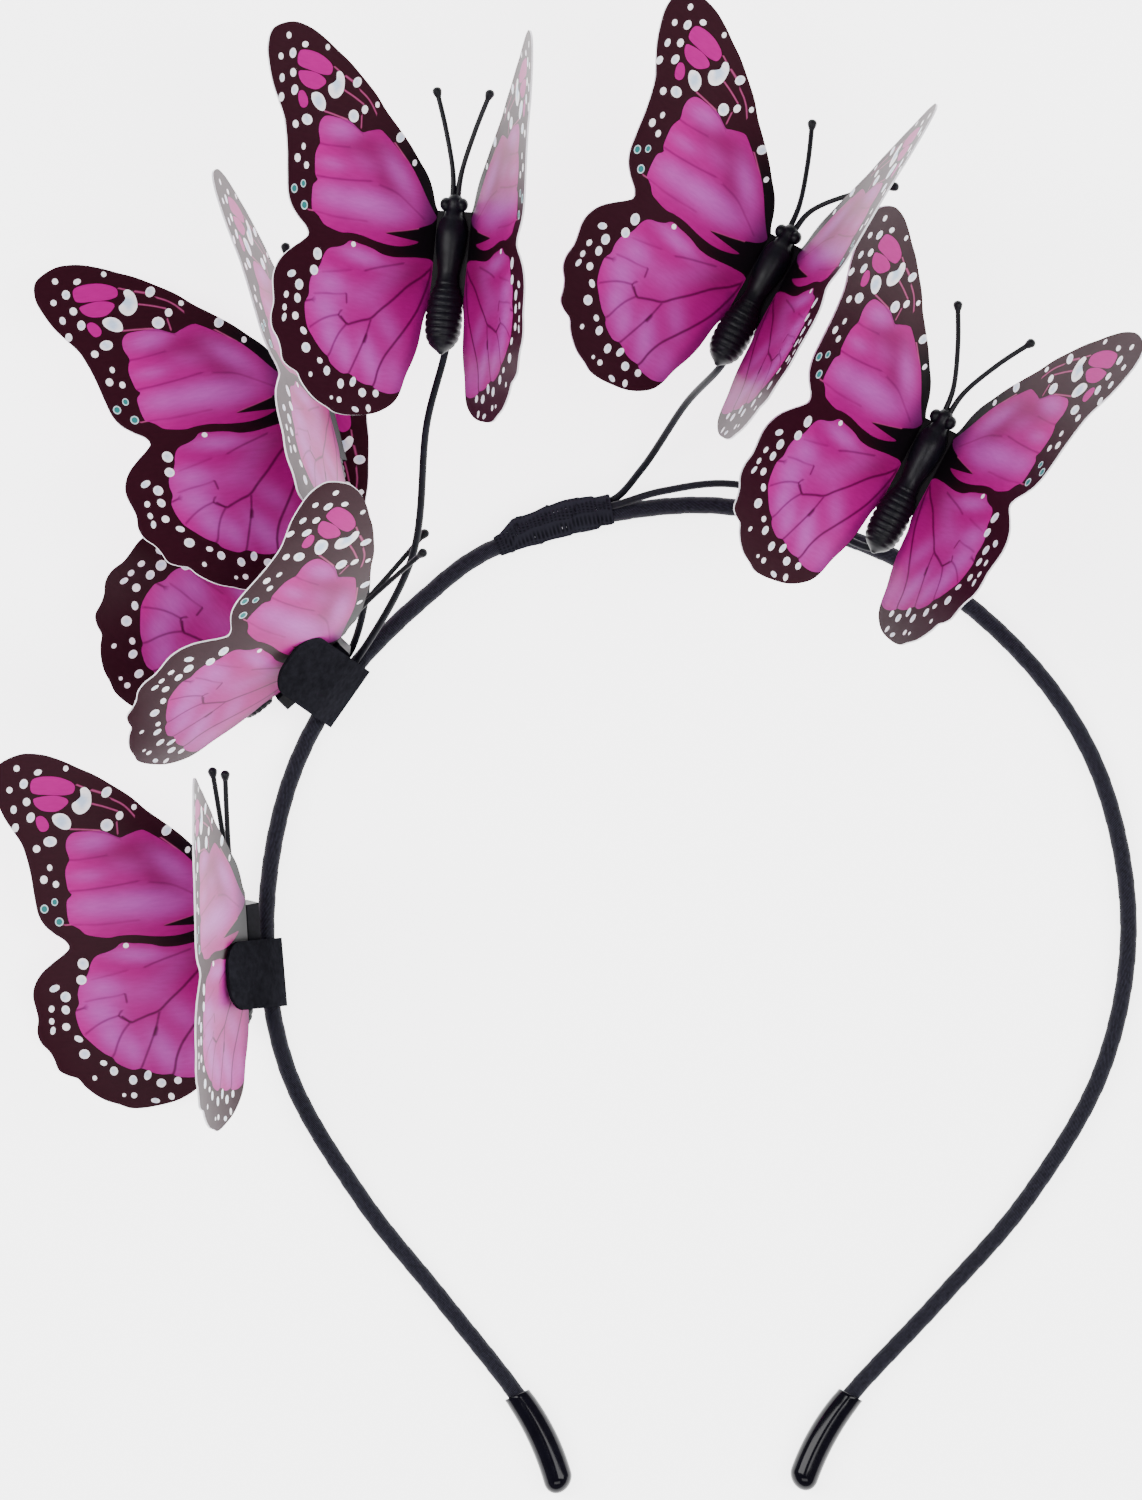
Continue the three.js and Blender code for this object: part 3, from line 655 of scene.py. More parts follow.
FORE_CELL = [
    (24.2, 18.8), (21.5, 18.9), (19.2, 18.7), (17.4, 17.8), (16.5, 17.4), (15.4, 17.8),
    (13, 18.4), (12.1, 18), (9.8, 16.4), (8.6, 15.5), (6.2, 13.7), (4.2, 11.4), (2.4, 9),
    (0.9, 7.2), (0.2, 6.4), (0.9, 5.3), (2.7, 4.4), (5.6, 3.4), (8.6, 2.7), (10.2, 2.2),
    (8, 2), (5, 1.9), (3.3, 1.8), (5, 1), (8, 0.4), (11.5, 0.5), (15, 1), (17.4, 1),
    (18.9, 0.8), (21.5, 1.2), (22.7, 1.6), (23.6, 2.5), (24.5, 3.1), (25.1, 3.4), (25.4, 4.6),
    (25.5, 6.1), (25.4, 7.5), (24.6, 8.4), (25.1, 9), (25.4, 10.5), (25.5, 12.5), (25.1, 13.7),
    (24.8, 14.3), (24.9, 14.9), (25.3, 16.4), (25.1, 17.8),
]
TIP_CELLS = [
    [(30.7, 27.7), (30.3, 28.4), (28.9, 28.7), (27.1, 28.6), (25.4, 28.1), (23.9, 27.2),
     (23.6, 26.6), (23.9, 25.6), (25.1, 25.3), (26.8, 25.4), (28.3, 25.6), (29.8, 25.8),
     (30.6, 26.2)],
    [(30.3, 25), (29.2, 25.3), (27.7, 25.4), (26.2, 25.2), (24.9, 24.6), (24.7, 24.1),
     (25.4, 23.3), (26.5, 22.7), (28, 22.7), (29.2, 23.1), (30.1, 24)],
    [(29.9, 21.8), (29.2, 22.1), (28.3, 21.4), (27.9, 20.2), (28.3, 19.5), (29.2, 19.4),
     (29.9, 20.6)],
]
HIND_CELL = [
    (0.15, -0.9), (3.1, -0.7), (5.8, -1.1), (8.1, -1.4), (10.5, -1.3), (12.2, -0.8), (14, -0.5),
    (15.2, -0.4), (16.4, -0.2), (17.2, -0.3), (18, -1), (19.3, -1.6), (20.8, -2), (21.6, -2.6),
    (22.2, -3.8), (22.4, -4.6), (23, -5.8), (24, -7), (24.4, -8.5), (24.3, -10.2),
    (24.9, -11.4), (24.8, -12.9), (24.4, -14.4), (23.9, -15.5), (22.8, -16.7), (21.6, -17.9),
    (20.5, -18.8), (19.3, -19.5), (18.9, -20.2), (17.5, -21.1), (16.1, -21.6), (14.9, -21.4),
    (14, -21.7), (12.8, -22.3), (11.4, -22.6), (9.9, -22.6), (9.3, -23), (7.5, -23.3),
    (5.8, -23.2), (4.2, -22.4), (3.5, -19.9), (2.3, -17), (1.6, -14.6), (1.3, -12.6),
    (0.9, -9.9), (0.15, -8),
]
# White spots: place, half width, half height and tilt in degrees
SPOTS = [
    (32.9, 30.4, 0.53, 0.6, 0), (29.5, 29.5, 0.7, 0.53, -20), (25, 29.8, 0.47, 0.53, 0),
    (31.8, 27.7, 0.7, 0.9, 10), (34.1, 26.8, 0.53, 0.6, 0), (31.4, 24.6, 0.65, 0.76, 0),
    (33.5, 23.4, 0.53, 0.76, 0), (30.8, 21.9, 0.7, 0.94, 15), (33.3, 20.3, 0.6, 0.82, 10),
    (30, 16.5, 0.65, 0.7, 0), (27.8, 17.6, 1.15, 0.95, 0), (18.6, 19.7, 1.1, 1.1, 0),
    (18.5, 25.2, 0.8, 1.05, 40), (16.5, 21.1, 0.65, 0.8, 20), (14.1, 22.3, 0.47, 0.53, 0),
    (8.9, 17.9, 0.8, 1.05, 40), (5.6, 14.3, 0.47, 0.6, 20), (28, 13.2, 0.44, 0.6, 0),
    (29, 11.2, 0.65, 0.76, 0), (27.1, 10.3, 0.53, 0.65, 0), (16.3, -0.7, 0.5, 0.47, 0),
    (23.3, -3.4, 0.94, 1.06, -15), (23.7, -6.1, 0.88, 0.88, 0), (28.1, -7.4, 0.95, 0.6, -25),
    (26.4, -8.9, 0.88, 0.94, 0), (28.8, -10.9, 0.5, 0.63, 15), (26.5, -11.1, 0.7, 0.82, -15),
    (28.9, -13, 0.47, 0.6, 0), (28.8, -14.6, 0.45, 0.75, 15), (26.6, -14, 0.7, 0.7, 0),
    (24.7, -16.1, 0.8, 0.55, 30), (23.9, -18.7, 0.94, 0.88, 0), (20.9, -20.3, 0.62, 0.5, 20),
    (19.3, -21.7, 0.7, 0.82, 0), (22.5, -22.8, 0.41, 0.47, 0), (16.3, -23.3, 0.7, 0.85, 0),
    (13.9, -22.6, 0.6, 0.9, 20), (11.8, -24, 0.82, 0.78, 0), (9.1, -23.7, 0.65, 0.65, 0),
    (17.9, -25.8, 0.35, 0.35, 0), (16.3, -25.9, 0.53, 0.53, 0), (12.9, -26.9, 0.78, 0.45, 10),
    (10.3, -26.3, 0.53, 0.65, -20),
]
TEAL_SPOTS = [(27.4, 7.3, 0.53, 0.65, 0), (29.1, 6.2, 0.65, 0.76, 0), (26.8, 3.9, 0.7, 0.76, 0)]
WHITE_FORMS = [
    [(22.7, 26.1), (22, 26.4), (21.2, 25.6), (21, 24.6), (21.2, 23.1), (22.1, 22.1),
     (23.1, 21.9), (24, 22.7), (24.1, 23.7), (23.3, 24.3), (22.7, 24.9)],
    [(27.3, 21.9), (26.2, 22.3), (25.1, 21.9), (24.4, 20.8), (24.6, 19.6), (25.5, 19.5),
     (26.7, 20.2), (27.3, 21.1)],
]
# Pink lines in the dark border: half width, then places
BORDER_LINES = [
    (0.16, [(20.9, 25.8), (19.4, 25.2)]),
    (0.1, [(17.7, 24), (16.2, 23.1), (15.2, 22.2), (14.1, 20.8)]),
    (0.1, [(20.9, 23.5), (18.9, 22.8), (16.8, 21.9)]),
    (0.1, [(24.5, 19.5), (22.7, 19.3), (19.8, 18.9)]),
    (0.09, [(17, 20), (16.9, 18.1)]),
    (0.09, [(23.3, 26.9), (22.3, 26.4)]),
    (0.09, [(9.9, 16.8), (8.6, 15.7), (6.8, 14.1), (4.8, 11.9)]),
    (0.1, [(10.2, 2.3), (6.2, 3.3), (3.6, 4)]),
    (0.08, [(25.8, 3.3), (24.2, 3.4)]),
]
# Dark lines in the magenta cells: half width, strength, then places
CELL_LINES = [
    (0.15, 0.95, [(0.5, -2.1), (1.9, -3.5), (4.6, -5.5), (7.5, -8.3), (9.9, -10.4),
                  (11.5, -11.9), (13.4, -12.6), (15.2, -13.3), (16, -13.6), (17.5, -12.6)]),
    (0.12, 0.8, [(16.8, -8.8), (16.6, -10.2)]),
    (0.12, 0.7, [(17.5, -11.6), (18, -12.4), (16.4, -13.5)]),
    (0.1, 0.6, [(13.4, -4.5), (11.6, -3.8), (8.7, -2.9), (6, -2.1)]),
    (0.08, 0.3, [(21.9, -6.1), (19.9, -5.7), (16.4, -4.9)]),
    (0.09, 0.4, [(23.1, -9.8), (20.8, -9.4), (18.4, -9.1), (16.9, -8.8)]),
    (0.1, 0.8, [(25, -11.3), (23.6, -10.9)]),
    (0.1, 0.6, [(23.4, -15.2), (21.6, -13.9), (19.9, -13), (18, -12.4)]),
    (0.12, 0.7, [(19.9, -19.9), (19.1, -18.9), (18.4, -17), (17.5, -15.2), (16.4, -13.8)]),
    (0.12, 0.8, [(15.8, -22.6), (14.9, -21.4), (14, -19.4), (13, -17), (12.1, -14.6),
                 (11.5, -12.3)]),
    (0.4, 0.9, [(12.4, -15.9), (12.1, -14.9)]),
    (0.16, 0.95, [(10.8, -23.5), (9.7, -22.4), (9.1, -19.9), (8.1, -17.6), (6.4, -15.2),
                  (4.3, -12.3), (2.5, -9.4), (1.4, -6.7), (0.6, -4.1), (0.3, -2.3)]),
    (0.1, 0.35, [(12, 9.6), (8.6, 8.9), (5, 7), (2.6, 5.6)]),
    (0.08, 0.5, [(25.1, 9), (23, 9.05), (19, 9.3), (14, 9.9)]),
    (0.08, 0.4, [(25.4, 14.3), (23, 14.25), (19, 14.6)]),
    (0.08, 0.4, [(20.9, 18.9), (18.4, 18.2), (16.6, 17.3)]),
    (0.08, 0.3, [(24.6, 3.3), (20, 3.1), (14, 3.4)]),
]
LINE_FADE = 0.2
# Lilac lights in the cells: place, half width, half height, tilt and strength
LIGHTS = [
    (20.9, 17.1, 2.6, 1.2, -5, 0.75), (22, 11.4, 2.2, 0.8, 0, 0.55), (14.4, 6.3, 5.4, 1.6, -2, 0.95),
    (21.8, 6.3, 2.2, 1.2, 0, 0.6), (8.2, 11.8, 3.4, 1.3, 42, 0.75), (9.5, 5.2, 3, 1.2, -8, 0.5),
    (15.4, 12.6, 2.6, 1.2, 10, 0.3), (14.4, -2.4, 3.3, 0.9, 6, 0.85), (20.2, -7.6, 2.6, 1.4, 10, 0.8),
    (20.8, -11.6, 2.4, 1.8, 20, 0.85), (19.3, -15.8, 1.5, 2, -20, 0.85),
    (16, -18.3, 1.3, 2, -20, 0.8), (11, -18.6, 1.5, 3.2, -28, 0.85), (7.8, -12.8, 1.4, 2.6, -45, 0.5),
    (9.3, -5.6, 3.6, 1.4, -38, 0.3), (6, -20, 1.6, 2.4, -20, 0.5), (13.3, -8.6, 2.4, 1.6, 0, 0.3),
]
MAGENTA = linear((152, 0, 110))
BRIGHT = linear((168, 2, 122))
CRIMSON = linear((120, 0, 78))
PURPLE = linear((84, 6, 72))
LILAC = linear((170, 76, 166))
BORDER = linear((42, 10, 22))
NEAR_BLACK = linear((12, 8, 12))
LINE_DARK = linear((58, 0, 38))
LINE_PINK = linear((170, 70, 120))
SPOT_WHITE = linear((255, 251, 255))
SPOT_BLUE = linear((196, 216, 240))
TEAL = linear((44, 118, 118))
TEAL_RIM = linear((190, 214, 220))


# How finely the print's lines and small ellipses are drawn
LINE_STEPS = 8
ELLIPSE_SIDES = 14


def rounded(places, step, closed):
    """A smooth line through places of the print, with a point every step."""
    vectors = [Vector((u, v, 0)) for u, v in places]
    if closed:
        wrapped = [vectors[-1], *vectors, vectors[0], vectors[1]]
        run = Run(catmull_rom(wrapped, LINE_STEPS))
        run = Run([Vector(p) for p in run.points[LINE_STEPS:-LINE_STEPS]])
    else:
        run = Run(catmull_rom(vectors, LINE_STEPS))
    count = max(3, round(run.length / step))
    last = count if closed else count + 1
    return [tuple(run.at(run.length * k / count)[:2]) for k in range(last)]


def ellipse(u, v, wide, high, tilt, grow):
    turn = math.radians(tilt)
    made = []
    for k in range(ELLIPSE_SIDES):
        a = 2 * math.pi * k / ELLIPSE_SIDES
        x, y = grow * wide * math.cos(a), grow * high * math.sin(a)
        made.append((u + x * math.cos(turn) - y * math.sin(turn),
                     v + x * math.sin(turn) + y * math.cos(turn)))
    return made


def beside(line, reach):
    """A line moved sideways by reach."""
    pts = np.array(line)
    way = np.gradient(pts, axis=0)
    way /= np.linalg.norm(way, axis=1)[:, None]
    return [tuple(p) for p in pts + reach * np.stack([-way[:, 1], way[:, 0]], axis=1)]


def inside(poly, pts):
    """Which points lie in a polygon."""
    hit = np.zeros(len(pts), bool)
    x, y = pts[:, 0], pts[:, 1]
    for (x1, y1), (x2, y2) in zip(poly, [*poly[1:], poly[0]]):
        if y1 == y2:
            continue
        crossing = ((y1 > y) != (y2 > y)) & (x < (x2 - x1) * (y - y1) / (y2 - y1) + x1)
        hit ^= crossing
    return hit


def line_distance(line, pts):
    """Each point's distance from a line of places."""
    best = np.full(len(pts), 1e9)
    for a, b in zip(line, line[1:]):
        a, b = np.array(a), np.array(b)
        d = b - a
        t = np.clip(((pts - a) @ d) / max(float(d @ d), 1e-12), 0, 1)
        best = np.minimum(best, np.linalg.norm(pts - a - t[:, None] * d, axis=1))
    return best


def blob(pts, u, v, wide, high, tilt):
    """A soft round weight of 1 at (u, v)."""
    turn = math.radians(tilt)
    x, y = pts[:, 0] - u, pts[:, 1] - v
    along = (x * math.cos(turn) + y * math.sin(turn)) / wide
    over = (y * math.cos(turn) - x * math.sin(turn)) / high
    return np.exp(-(along ** 2 + over ** 2) / 2)


def mix(a, b, weight):
    return a + (b - a) * weight[:, None]


# Deep crimson places in the cells: place, half width, half height and tilt
DEEP = [(10.2, 10.4, 2.2, 4.2, -30), (15, 14.6, 5, 1.6, 10), (4.5, -3.4, 4, 2, -30),
        (3.3, 1.2, 3, 1, 0)]
# How far from the wing's root the hindwing's purple margin lies, at places down from its middle
MARGIN_DOWN = [6, 12, 20, 25]
MARGIN_OUT = [0.2, 1.2, 3.4, 5]
# The cells' lines are drawn this much thinner than they were measured
LINE_THIN = 0.75
# How far a border line's edge fades, and how far apart the points of both kinds of line are
BORDER_FADE = 0.12
LINE_GAP = 0.5
CELL_RUNS = [(half * LINE_THIN, strength, rounded(line, LINE_GAP, False))
             for half, strength, line in CELL_LINES]
BORDER_RUNS = [(half, rounded(line, LINE_GAP, False)) for half, line in BORDER_LINES]


def cell_colour(pts):
    """The magenta of the cells, with its lights, its deep places and its dark lines."""
    u, v = pts[:, 0], pts[:, 1]
    made = np.tile(MAGENTA, (len(pts), 1))
    made = mix(made, BRIGHT, smooth_step(u, 19, 24) * 0.8)
    deep = sum(blob(pts, *row) for row in DEEP)
    made = mix(made, CRIMSON, np.clip(deep, 0, 1) * 0.85)
    root = (1 - smooth_step(u, 0.8, 5.5)) * (v > 0)
    margin = 1 - smooth_step(u - np.interp(-v, MARGIN_DOWN, MARGIN_OUT), 0.3, 2.2)
    made = mix(made, PURPLE, np.maximum(root, margin * (v < -4) * 0.55))
    for *row, strength in LIGHTS:
        made = mix(made, LILAC, np.clip(blob(pts, *row) * strength, 0, 1))
    for half, strength, line in CELL_RUNS:
        near = 1 - smooth_step(line_distance(line, pts), half * 0.4, half + LINE_FADE)
        made = mix(made, LINE_DARK, near * strength * 0.85)
    return made


def border_colour(pts):
    """The dark border: nearly black by the body, with its thin pink lines."""
    u, v = pts[:, 0], pts[:, 1]
    made = np.tile(BORDER, (len(pts), 1))
    near_body = (1 - smooth_step(u, 3, 17)) * smooth_step(v, -4, 0) * (1 - smooth_step(v, 14, 22))
    made = mix(made, NEAR_BLACK, near_body)
    for half, line in BORDER_RUNS:
        near = 1 - smooth_step(line_distance(line, pts), half * 0.5, half + BORDER_FADE)
        made = mix(made, LINE_PINK, near * 0.9)
    return made


def spot_colour(pts, middle, size):
    """A white spot, whose middle is the bluer the larger it is."""
    away = np.linalg.norm(pts - np.array(middle), axis=1) / size
    blue = (1 - smooth_step(away, 0.45, 0.8)) * min(1.0, max(0.0, (size - 0.45) / 0.4))
    return mix(np.tile(SPOT_WHITE, (len(pts), 1)), SPOT_BLUE, blue)


# How far apart the points of each outline are
OUTLINE_GAP = 0.55
CELL_GAPS = (0.4, 0.45)
TIP_GAP = 0.35
WHITE_GAP = 0.25
# The size that a large white form's blue middle is drawn for, and how much smaller than they were
# measured the white spots are, and the teal ones inside their pale rims
WHITE_SIZE = 1.6
SPOT_SHRINK = 0.93
TEAL_SHRINK = 0.72
# The grid of points between the outlines: its gap, its rows' gap as a share of that, the area
# that it fills, and the squared distance that it keeps from the lines
GRID_GAP = 0.85
GRID_ROW = 0.866
GRID_WIDE, GRID_HIGH, GRID_LOW = 37, 64, -29
GRID_CLEAR = 0.12


def draw_print():
    """The flat wing: its places, its triangles and the colour of each triangle's corners."""
    outline = rounded([*FORE_EDGE, *HIND_EDGE[1:]], OUTLINE_GAP, False)
    regions = [("cell", rounded(form, gap, True), None)
               for form, gap in zip((FORE_CELL, HIND_CELL), CELL_GAPS)]
    regions += [("cell", rounded(form, TIP_GAP, True), None) for form in TIP_CELLS]
    for row in SPOTS:
        regions.append(("spot", ellipse(*row, SPOT_SHRINK), (row[:2], max(row[2:4]))))
    for form in WHITE_FORMS:
        middle = tuple(np.mean(form, axis=0))
        regions.append(("spot", rounded(form, WHITE_GAP, True), (middle, WHITE_SIZE)))
    for row in TEAL_SPOTS:
        regions.append(("rim", ellipse(*row, 1.0), None))
        regions.append(("teal", ellipse(*row, TEAL_SHRINK), None))
    places, edges = [], []

    def chain(line, closed):
        first = len(places)
        places.extend(line)
        edges.extend((first + k, first + k + 1) for k in range(len(line) - 1))
        if closed:
            edges.append((first + len(line) - 1, first))

    chain(outline, True)
    for _, form, _ in regions:
        chain(form, True)
    for half, _, line in CELL_RUNS:
        for reach in (-half - LINE_FADE, -half, half, half + LINE_FADE):
            chain(beside(line, reach), False)
        places.extend(line)
    for half, line in BORDER_RUNS:
        for reach in (-half - BORDER_FADE, 0, half + BORDER_FADE):
            chain(beside(line, reach), False)
    grid = []
    for j in range(int(GRID_HIGH / (GRID_GAP * GRID_ROW))):
        v = GRID_LOW + j * GRID_GAP * GRID_ROW
        shift = (j % 2) * GRID_GAP / 2
        grid.extend((i * GRID_GAP + shift, v) for i in range(int(GRID_WIDE / GRID_GAP)))
    grid = np.array(grid)
    grid = grid[inside(outline, grid)]
    taken = np.array(places)
    clear = [g for g in grid if np.min(np.sum((taken - g) ** 2, axis=1)) > GRID_CLEAR]
    places.extend(tuple(g) for g in clear)
    flat, _, triangles, *_ = delaunay_2d_cdt([Vector(p) for p in places], edges, [], 0, 1e-3)
    spots = np.array([tuple(p) for p in flat])
    triangles = np.array([t for t in triangles if len(t) == 3])
    a, b, c = (spots[triangles[:, k]] for k in range(3))
    area = (b[:, 0] - a[:, 0]) * (c[:, 1] - a[:, 1]) - (b[:, 1] - a[:, 1]) * (c[:, 0] - a[:, 0])
    triangles[area < 0] = triangles[area < 0][:, ::-1]
    middle = spots[triangles].mean(axis=1)
    kept = inside(outline, middle) & (np.abs(area) > 1e-7)
    triangles, middle = triangles[kept], middle[kept]
    corner = spots[triangles].reshape(-1, 2)
    colours = border_colour(corner)
    for kind, form, facts in regions:
        hit = np.repeat(inside(form, middle), 3)
        if not hit.any():
            continue
        if kind == "cell":
            colours[hit] = cell_colour(corner[hit])
        elif kind == "spot":
            colours[hit] = spot_colour(corner[hit], *facts)
        else:
            colours[hit] = TEAL if kind == "teal" else TEAL_RIM
    return spots, triangles, colours.reshape(-1, 3, 3)


PRINT_PLACES, PRINT_FACES, PRINT_COLOURS = draw_print()
FILM_EDGE = linear((236, 232, 238))


def rim_edges():
    """The edges of the flat wing that only one triangle has."""
    found = {(a, b) for t in PRINT_FACES for a, b in ((t[0], t[1]), (t[1], t[2]), (t[2], t[0]))}
    return sorted((a, b) for a, b in found if (b, a) not in found)


RIM = rim_edges()
# The rim is dark where it meets the body: out from the root, and up or down from its middle
ROOT_RIM_OUT, ROOT_RIM_HALF = 0.4, 9


def wing_mesh(wing, side, points, faces, colours, maps):
    """Adds one wing's two printed faces and its cut edge."""
    used = np.unique(PRINT_FACES)
    first = len(points)
    number = {int(p): k for k, p in enumerate(used)}
    for off in (FILM / 2, -FILM / 2):
        for p in used:
            u, v = PRINT_PLACES[p]
            points.append(wing_point(wing, side, float(u), float(v), off))
    back = len(used)
    for t, colour in zip(PRINT_FACES, PRINT_COLOURS):
        top = [first + number[int(p)] for p in t]
        low = [k + back for k in top]
        where = [tuple(PRINT_PLACES[p]) for p in t]
        for corners, turned in ((top, side > 0), (low, side < 0)):
            order = (0, 1, 2) if not turned else (2, 1, 0)
            faces.append(tuple(corners[k] for k in order))
            colours.extend(colour[k] for k in order)
            maps.extend(where[k] for k in order)
    for a, b in RIM:
        ta, tb = first + number[int(a)], first + number[int(b)]
        quad = (ta, tb, tb + back, ta + back) if side > 0 else (tb, ta, ta + back, tb + back)
        faces.append(quad)
        u, v = PRINT_PLACES[a]
        at_root = u < ROOT_RIM_OUT and abs(v) < ROOT_RIM_HALF
        colours.extend([NEAR_BLACK if at_root else FILM_EDGE] * 4)
        maps.extend([(u, v)] * 4)


def strip_mesh(points, faces, colours, maps):
    """The strip of film under the body that joins the two wings."""
    first = len(points)
    half, reach = ROOT_LENGTH / 2, ROOT_HALF_WIDTH + 0.05
    for z in (FILM / 2, -FILM / 2):
        points.extend(Vector(p) for p in (
            (-reach, -half, z), (reach, -half, z), (reach, half, z), (-reach, half, z)))
    for quad in ((0, 1, 2, 3), (7, 6, 5, 4), (0, 4, 5, 1), (2, 6, 7, 3), (1, 5, 6, 2), (3, 7, 4, 0)):
        faces.append(tuple(first + k for k in quad))
        colours.extend([NEAR_BLACK] * 4)
        maps.extend([(0.0, 0.0)] * 4)


for index, (row, matrix) in enumerate(zip(BUTTERFLIES, MATRICES), 1):
    points, faces, colours, maps = [], [], [], []
    wing_mesh(row["left"], -1, points, faces, colours, maps)
    wing_mesh(row["right"], 1, points, faces, colours, maps)
    strip_mesh(points, faces, colours, maps)
    mesh = bpy.data.meshes.new(f"wings_film_{index}")
    mesh.from_pydata([tuple((matrix @ p + CENTRING) * MM) for p in points], [], faces)
    ink = mesh.color_attributes.new("print", "FLOAT_COLOR", "CORNER")
    rgba = np.ones((len(colours), 4), np.float32)
    rgba[:, :3] = np.array(colours)
    ink.data.foreach_set("color", rgba.ravel())
    layer = mesh.uv_layers.new(name="print_map")
    layer.data.foreach_set("uv", np.array(maps, np.float32).ravel())
    mesh.polygons.foreach_set("use_smooth", [True] * len(mesh.polygons))
    mesh.set_sharp_from_angle(angle=math.radians(50))
    finish_piece(add_object(f"wings_film_{index}", mesh), PRINT, f"wings_{index}")


# The moulded bodies

# Place behind the front of the head, and half width, as shares of the body's sizes
TORSO = [
    (0.0, 0.22), (0.02, 0.42), (0.05, 0.52), (0.09, 0.5), (0.13, 0.6), (0.18, 0.82), (0.25, 0.97),
    (0.34, 0.92), (0.42, 0.78), (0.5, 0.66), (0.56, 0.72), (0.62, 0.92), (0.7, 1.08), (0.78, 1.14),
    (0.86, 1.1), (0.92, 0.92), (0.955, 0.66), (0.975, 0.4), (0.99, 0.2), (1.0, 0.12),
]
RING_FIRST, RING_LAST, RINGS = 0.55, 0.95, 9
BODY_SIDES = 32
BODY_LIFT = WING_SHEET / 2 + CLEARANCE
BODY_STEPS = 190


# The body's flat underside: where it lies on the film, how far above it, and elsewhere its depth as
# a share of the half width
BODY_SEAT = (-9.5, 7.8)
BODY_GAP = 0.02
UNDER_SHARE = 5


def body_half(back):
    width = float(np.interp(back, *zip(*TORSO_RUN)))
    if RING_FIRST < back < RING_LAST:
        turn = (back - RING_FIRST) / (RING_LAST - RING_FIRST) * RINGS % 1.0
        width *= 1.015 - 0.06 * math.exp(-((turn - 0.5) / 0.17) ** 2)
    return width * BODY_HALF_WIDTH


TORSO_RUN = [tuple(p[:2]) for p in catmull_rom([Vector((a, b, 0)) for a, b in TORSO], 10)]


def torso_mesh():
    points = []
    for i in range(BODY_STEPS + 1):
        back = i / BODY_STEPS
        half = body_half(back)
        along = HEAD_END - back * BODY_LENGTH
        seated = BODY_SEAT[0] < along < BODY_SEAT[1]
        under = FILM / 2 + BODY_GAP if seated else -half / UNDER_SHARE
        for k in range(BODY_SIDES):
            a = 2 * math.pi * k / BODY_SIDES
            x, z = half * math.cos(a), BODY_LIFT + half * math.sin(a)
            points.append(Vector((x, along, max(z, under))))
    return points, tube_faces(BODY_STEPS + 1, BODY_SIDES)


BALL_ACROSS, BALL_DOWN = 20, 12


def ball(centre, radius, stretch):
    across, down = BALL_ACROSS, BALL_DOWN
    points, faces = [centre + Vector((0, 0, radius * stretch[2]))], []
    for i in range(1, down):
        tilt = math.pi * i / down
        for k in range(across):
            a = 2 * math.pi * k / across
            way = Vector((math.sin(tilt) * math.cos(a) * stretch[0],
                          math.sin(tilt) * math.sin(a) * stretch[1],
                          math.cos(tilt) * stretch[2]))
            points.append(centre + way * radius)
    points.append(centre - Vector((0, 0, radius * stretch[2])))
    for k in range(across):
        faces.append((0, 1 + k, 1 + (k + 1) % across))
        last = 1 + (down - 2) * across
        faces.append((len(points) - 1, last + (k + 1) % across, last + k))
    for i in range(down - 2):
        for k in range(across):
            a, b = 1 + i * across + k, 1 + i * across + (k + 1) % across
            faces.append((a, a + across, b + across, b))
    return points, faces


# Where an antenna starts, how it rises, and how much of its lean it has at shares of its length
FEELER_ASIDE = 0.36
FEELER_BACK = 1.5
FEELER_RISE = 0.06
FEELER_COURSE = [(0, 0), (0.25, 0.3), (0.62, 0.76), (1, 1)]


def feeler_run(lean, side):
    def spot(share, angle):
        reach = share * ANTENNA_LENGTH
        return Vector((side * (FEELER_ASIDE + reach * math.sin(angle)),
                       HEAD_END - FEELER_BACK + reach * math.cos(angle),
                       BODY_LIFT + FEELER_RISE * reach))

    return Run(catmull_rom([spot(share, lean * turned) for share, turned in FEELER_COURSE]))


def feeler_radius(length):
    """A thin rod that ends in a round club."""
    def radius(s, _):
        left = max(length - s, 0.0)
        rod = ANTENNA_RADIUS * (1.15 - 0.2 * min(1.0, s / 6))
        club = ANTENNA_KNOB ** 2 - (left - ANTENNA_KNOB) ** 2
        neck = ANTENNA_KNOB * 0.95 * math.exp(-((left - ANTENNA_KNOB) / 1.3) ** 2)
        if left < ANTENNA_KNOB:
            return max(math.sqrt(max(club, 0.0)), 0.04)
        return max(rod, neck)
    return radius


def join(parts):
    points, faces = [], []
    for some_points, some_faces in parts:
        first = len(points)
        points.extend(some_points)
        faces.extend(tuple(first + k for k in face) for face in some_faces)
    return points, faces


TORSO_PARTS = torso_mesh()
for index, (row, matrix) in enumerate(zip(BUTTERFLIES, MATRICES), 1):
    parts = [TORSO_PARTS]
    for side in (-1, 1):
        eye = Vector((side * 0.52 * BODY_HALF_WIDTH, HEAD_END - 1.75, BODY_LIFT + 0.35))
        parts.append(ball(eye, 1.05, (0.92, 1.08, 1.0)))
        run = feeler_run(math.radians(row["feelers"][0 if side < 0 else 1]), side)
        points, faces, _ = sweep(run, 150, 12, feeler_radius(run.length))
        parts.append((points, faces))
    points, faces = join(parts)
    body = add_mesh(f"body_moulded_{index}", [matrix @ p for p in points], faces)
    finish_piece(body, MOULDED, f"body_{index}")


# Stems and tape

def base_middle(matrix):
    low = -WING_SHEET / 2 - CLEARANCE - BASE_DEPTH / 2
    return matrix @ Vector((0, BASE_HEAD_END - BASE_LENGTH / 2, low))


def patch_share(entry):
    matrix = MATRICES[entry["butterfly"] - 1]
    return nearest_share(base_middle(matrix)) - entry["slide"] / BAND.length


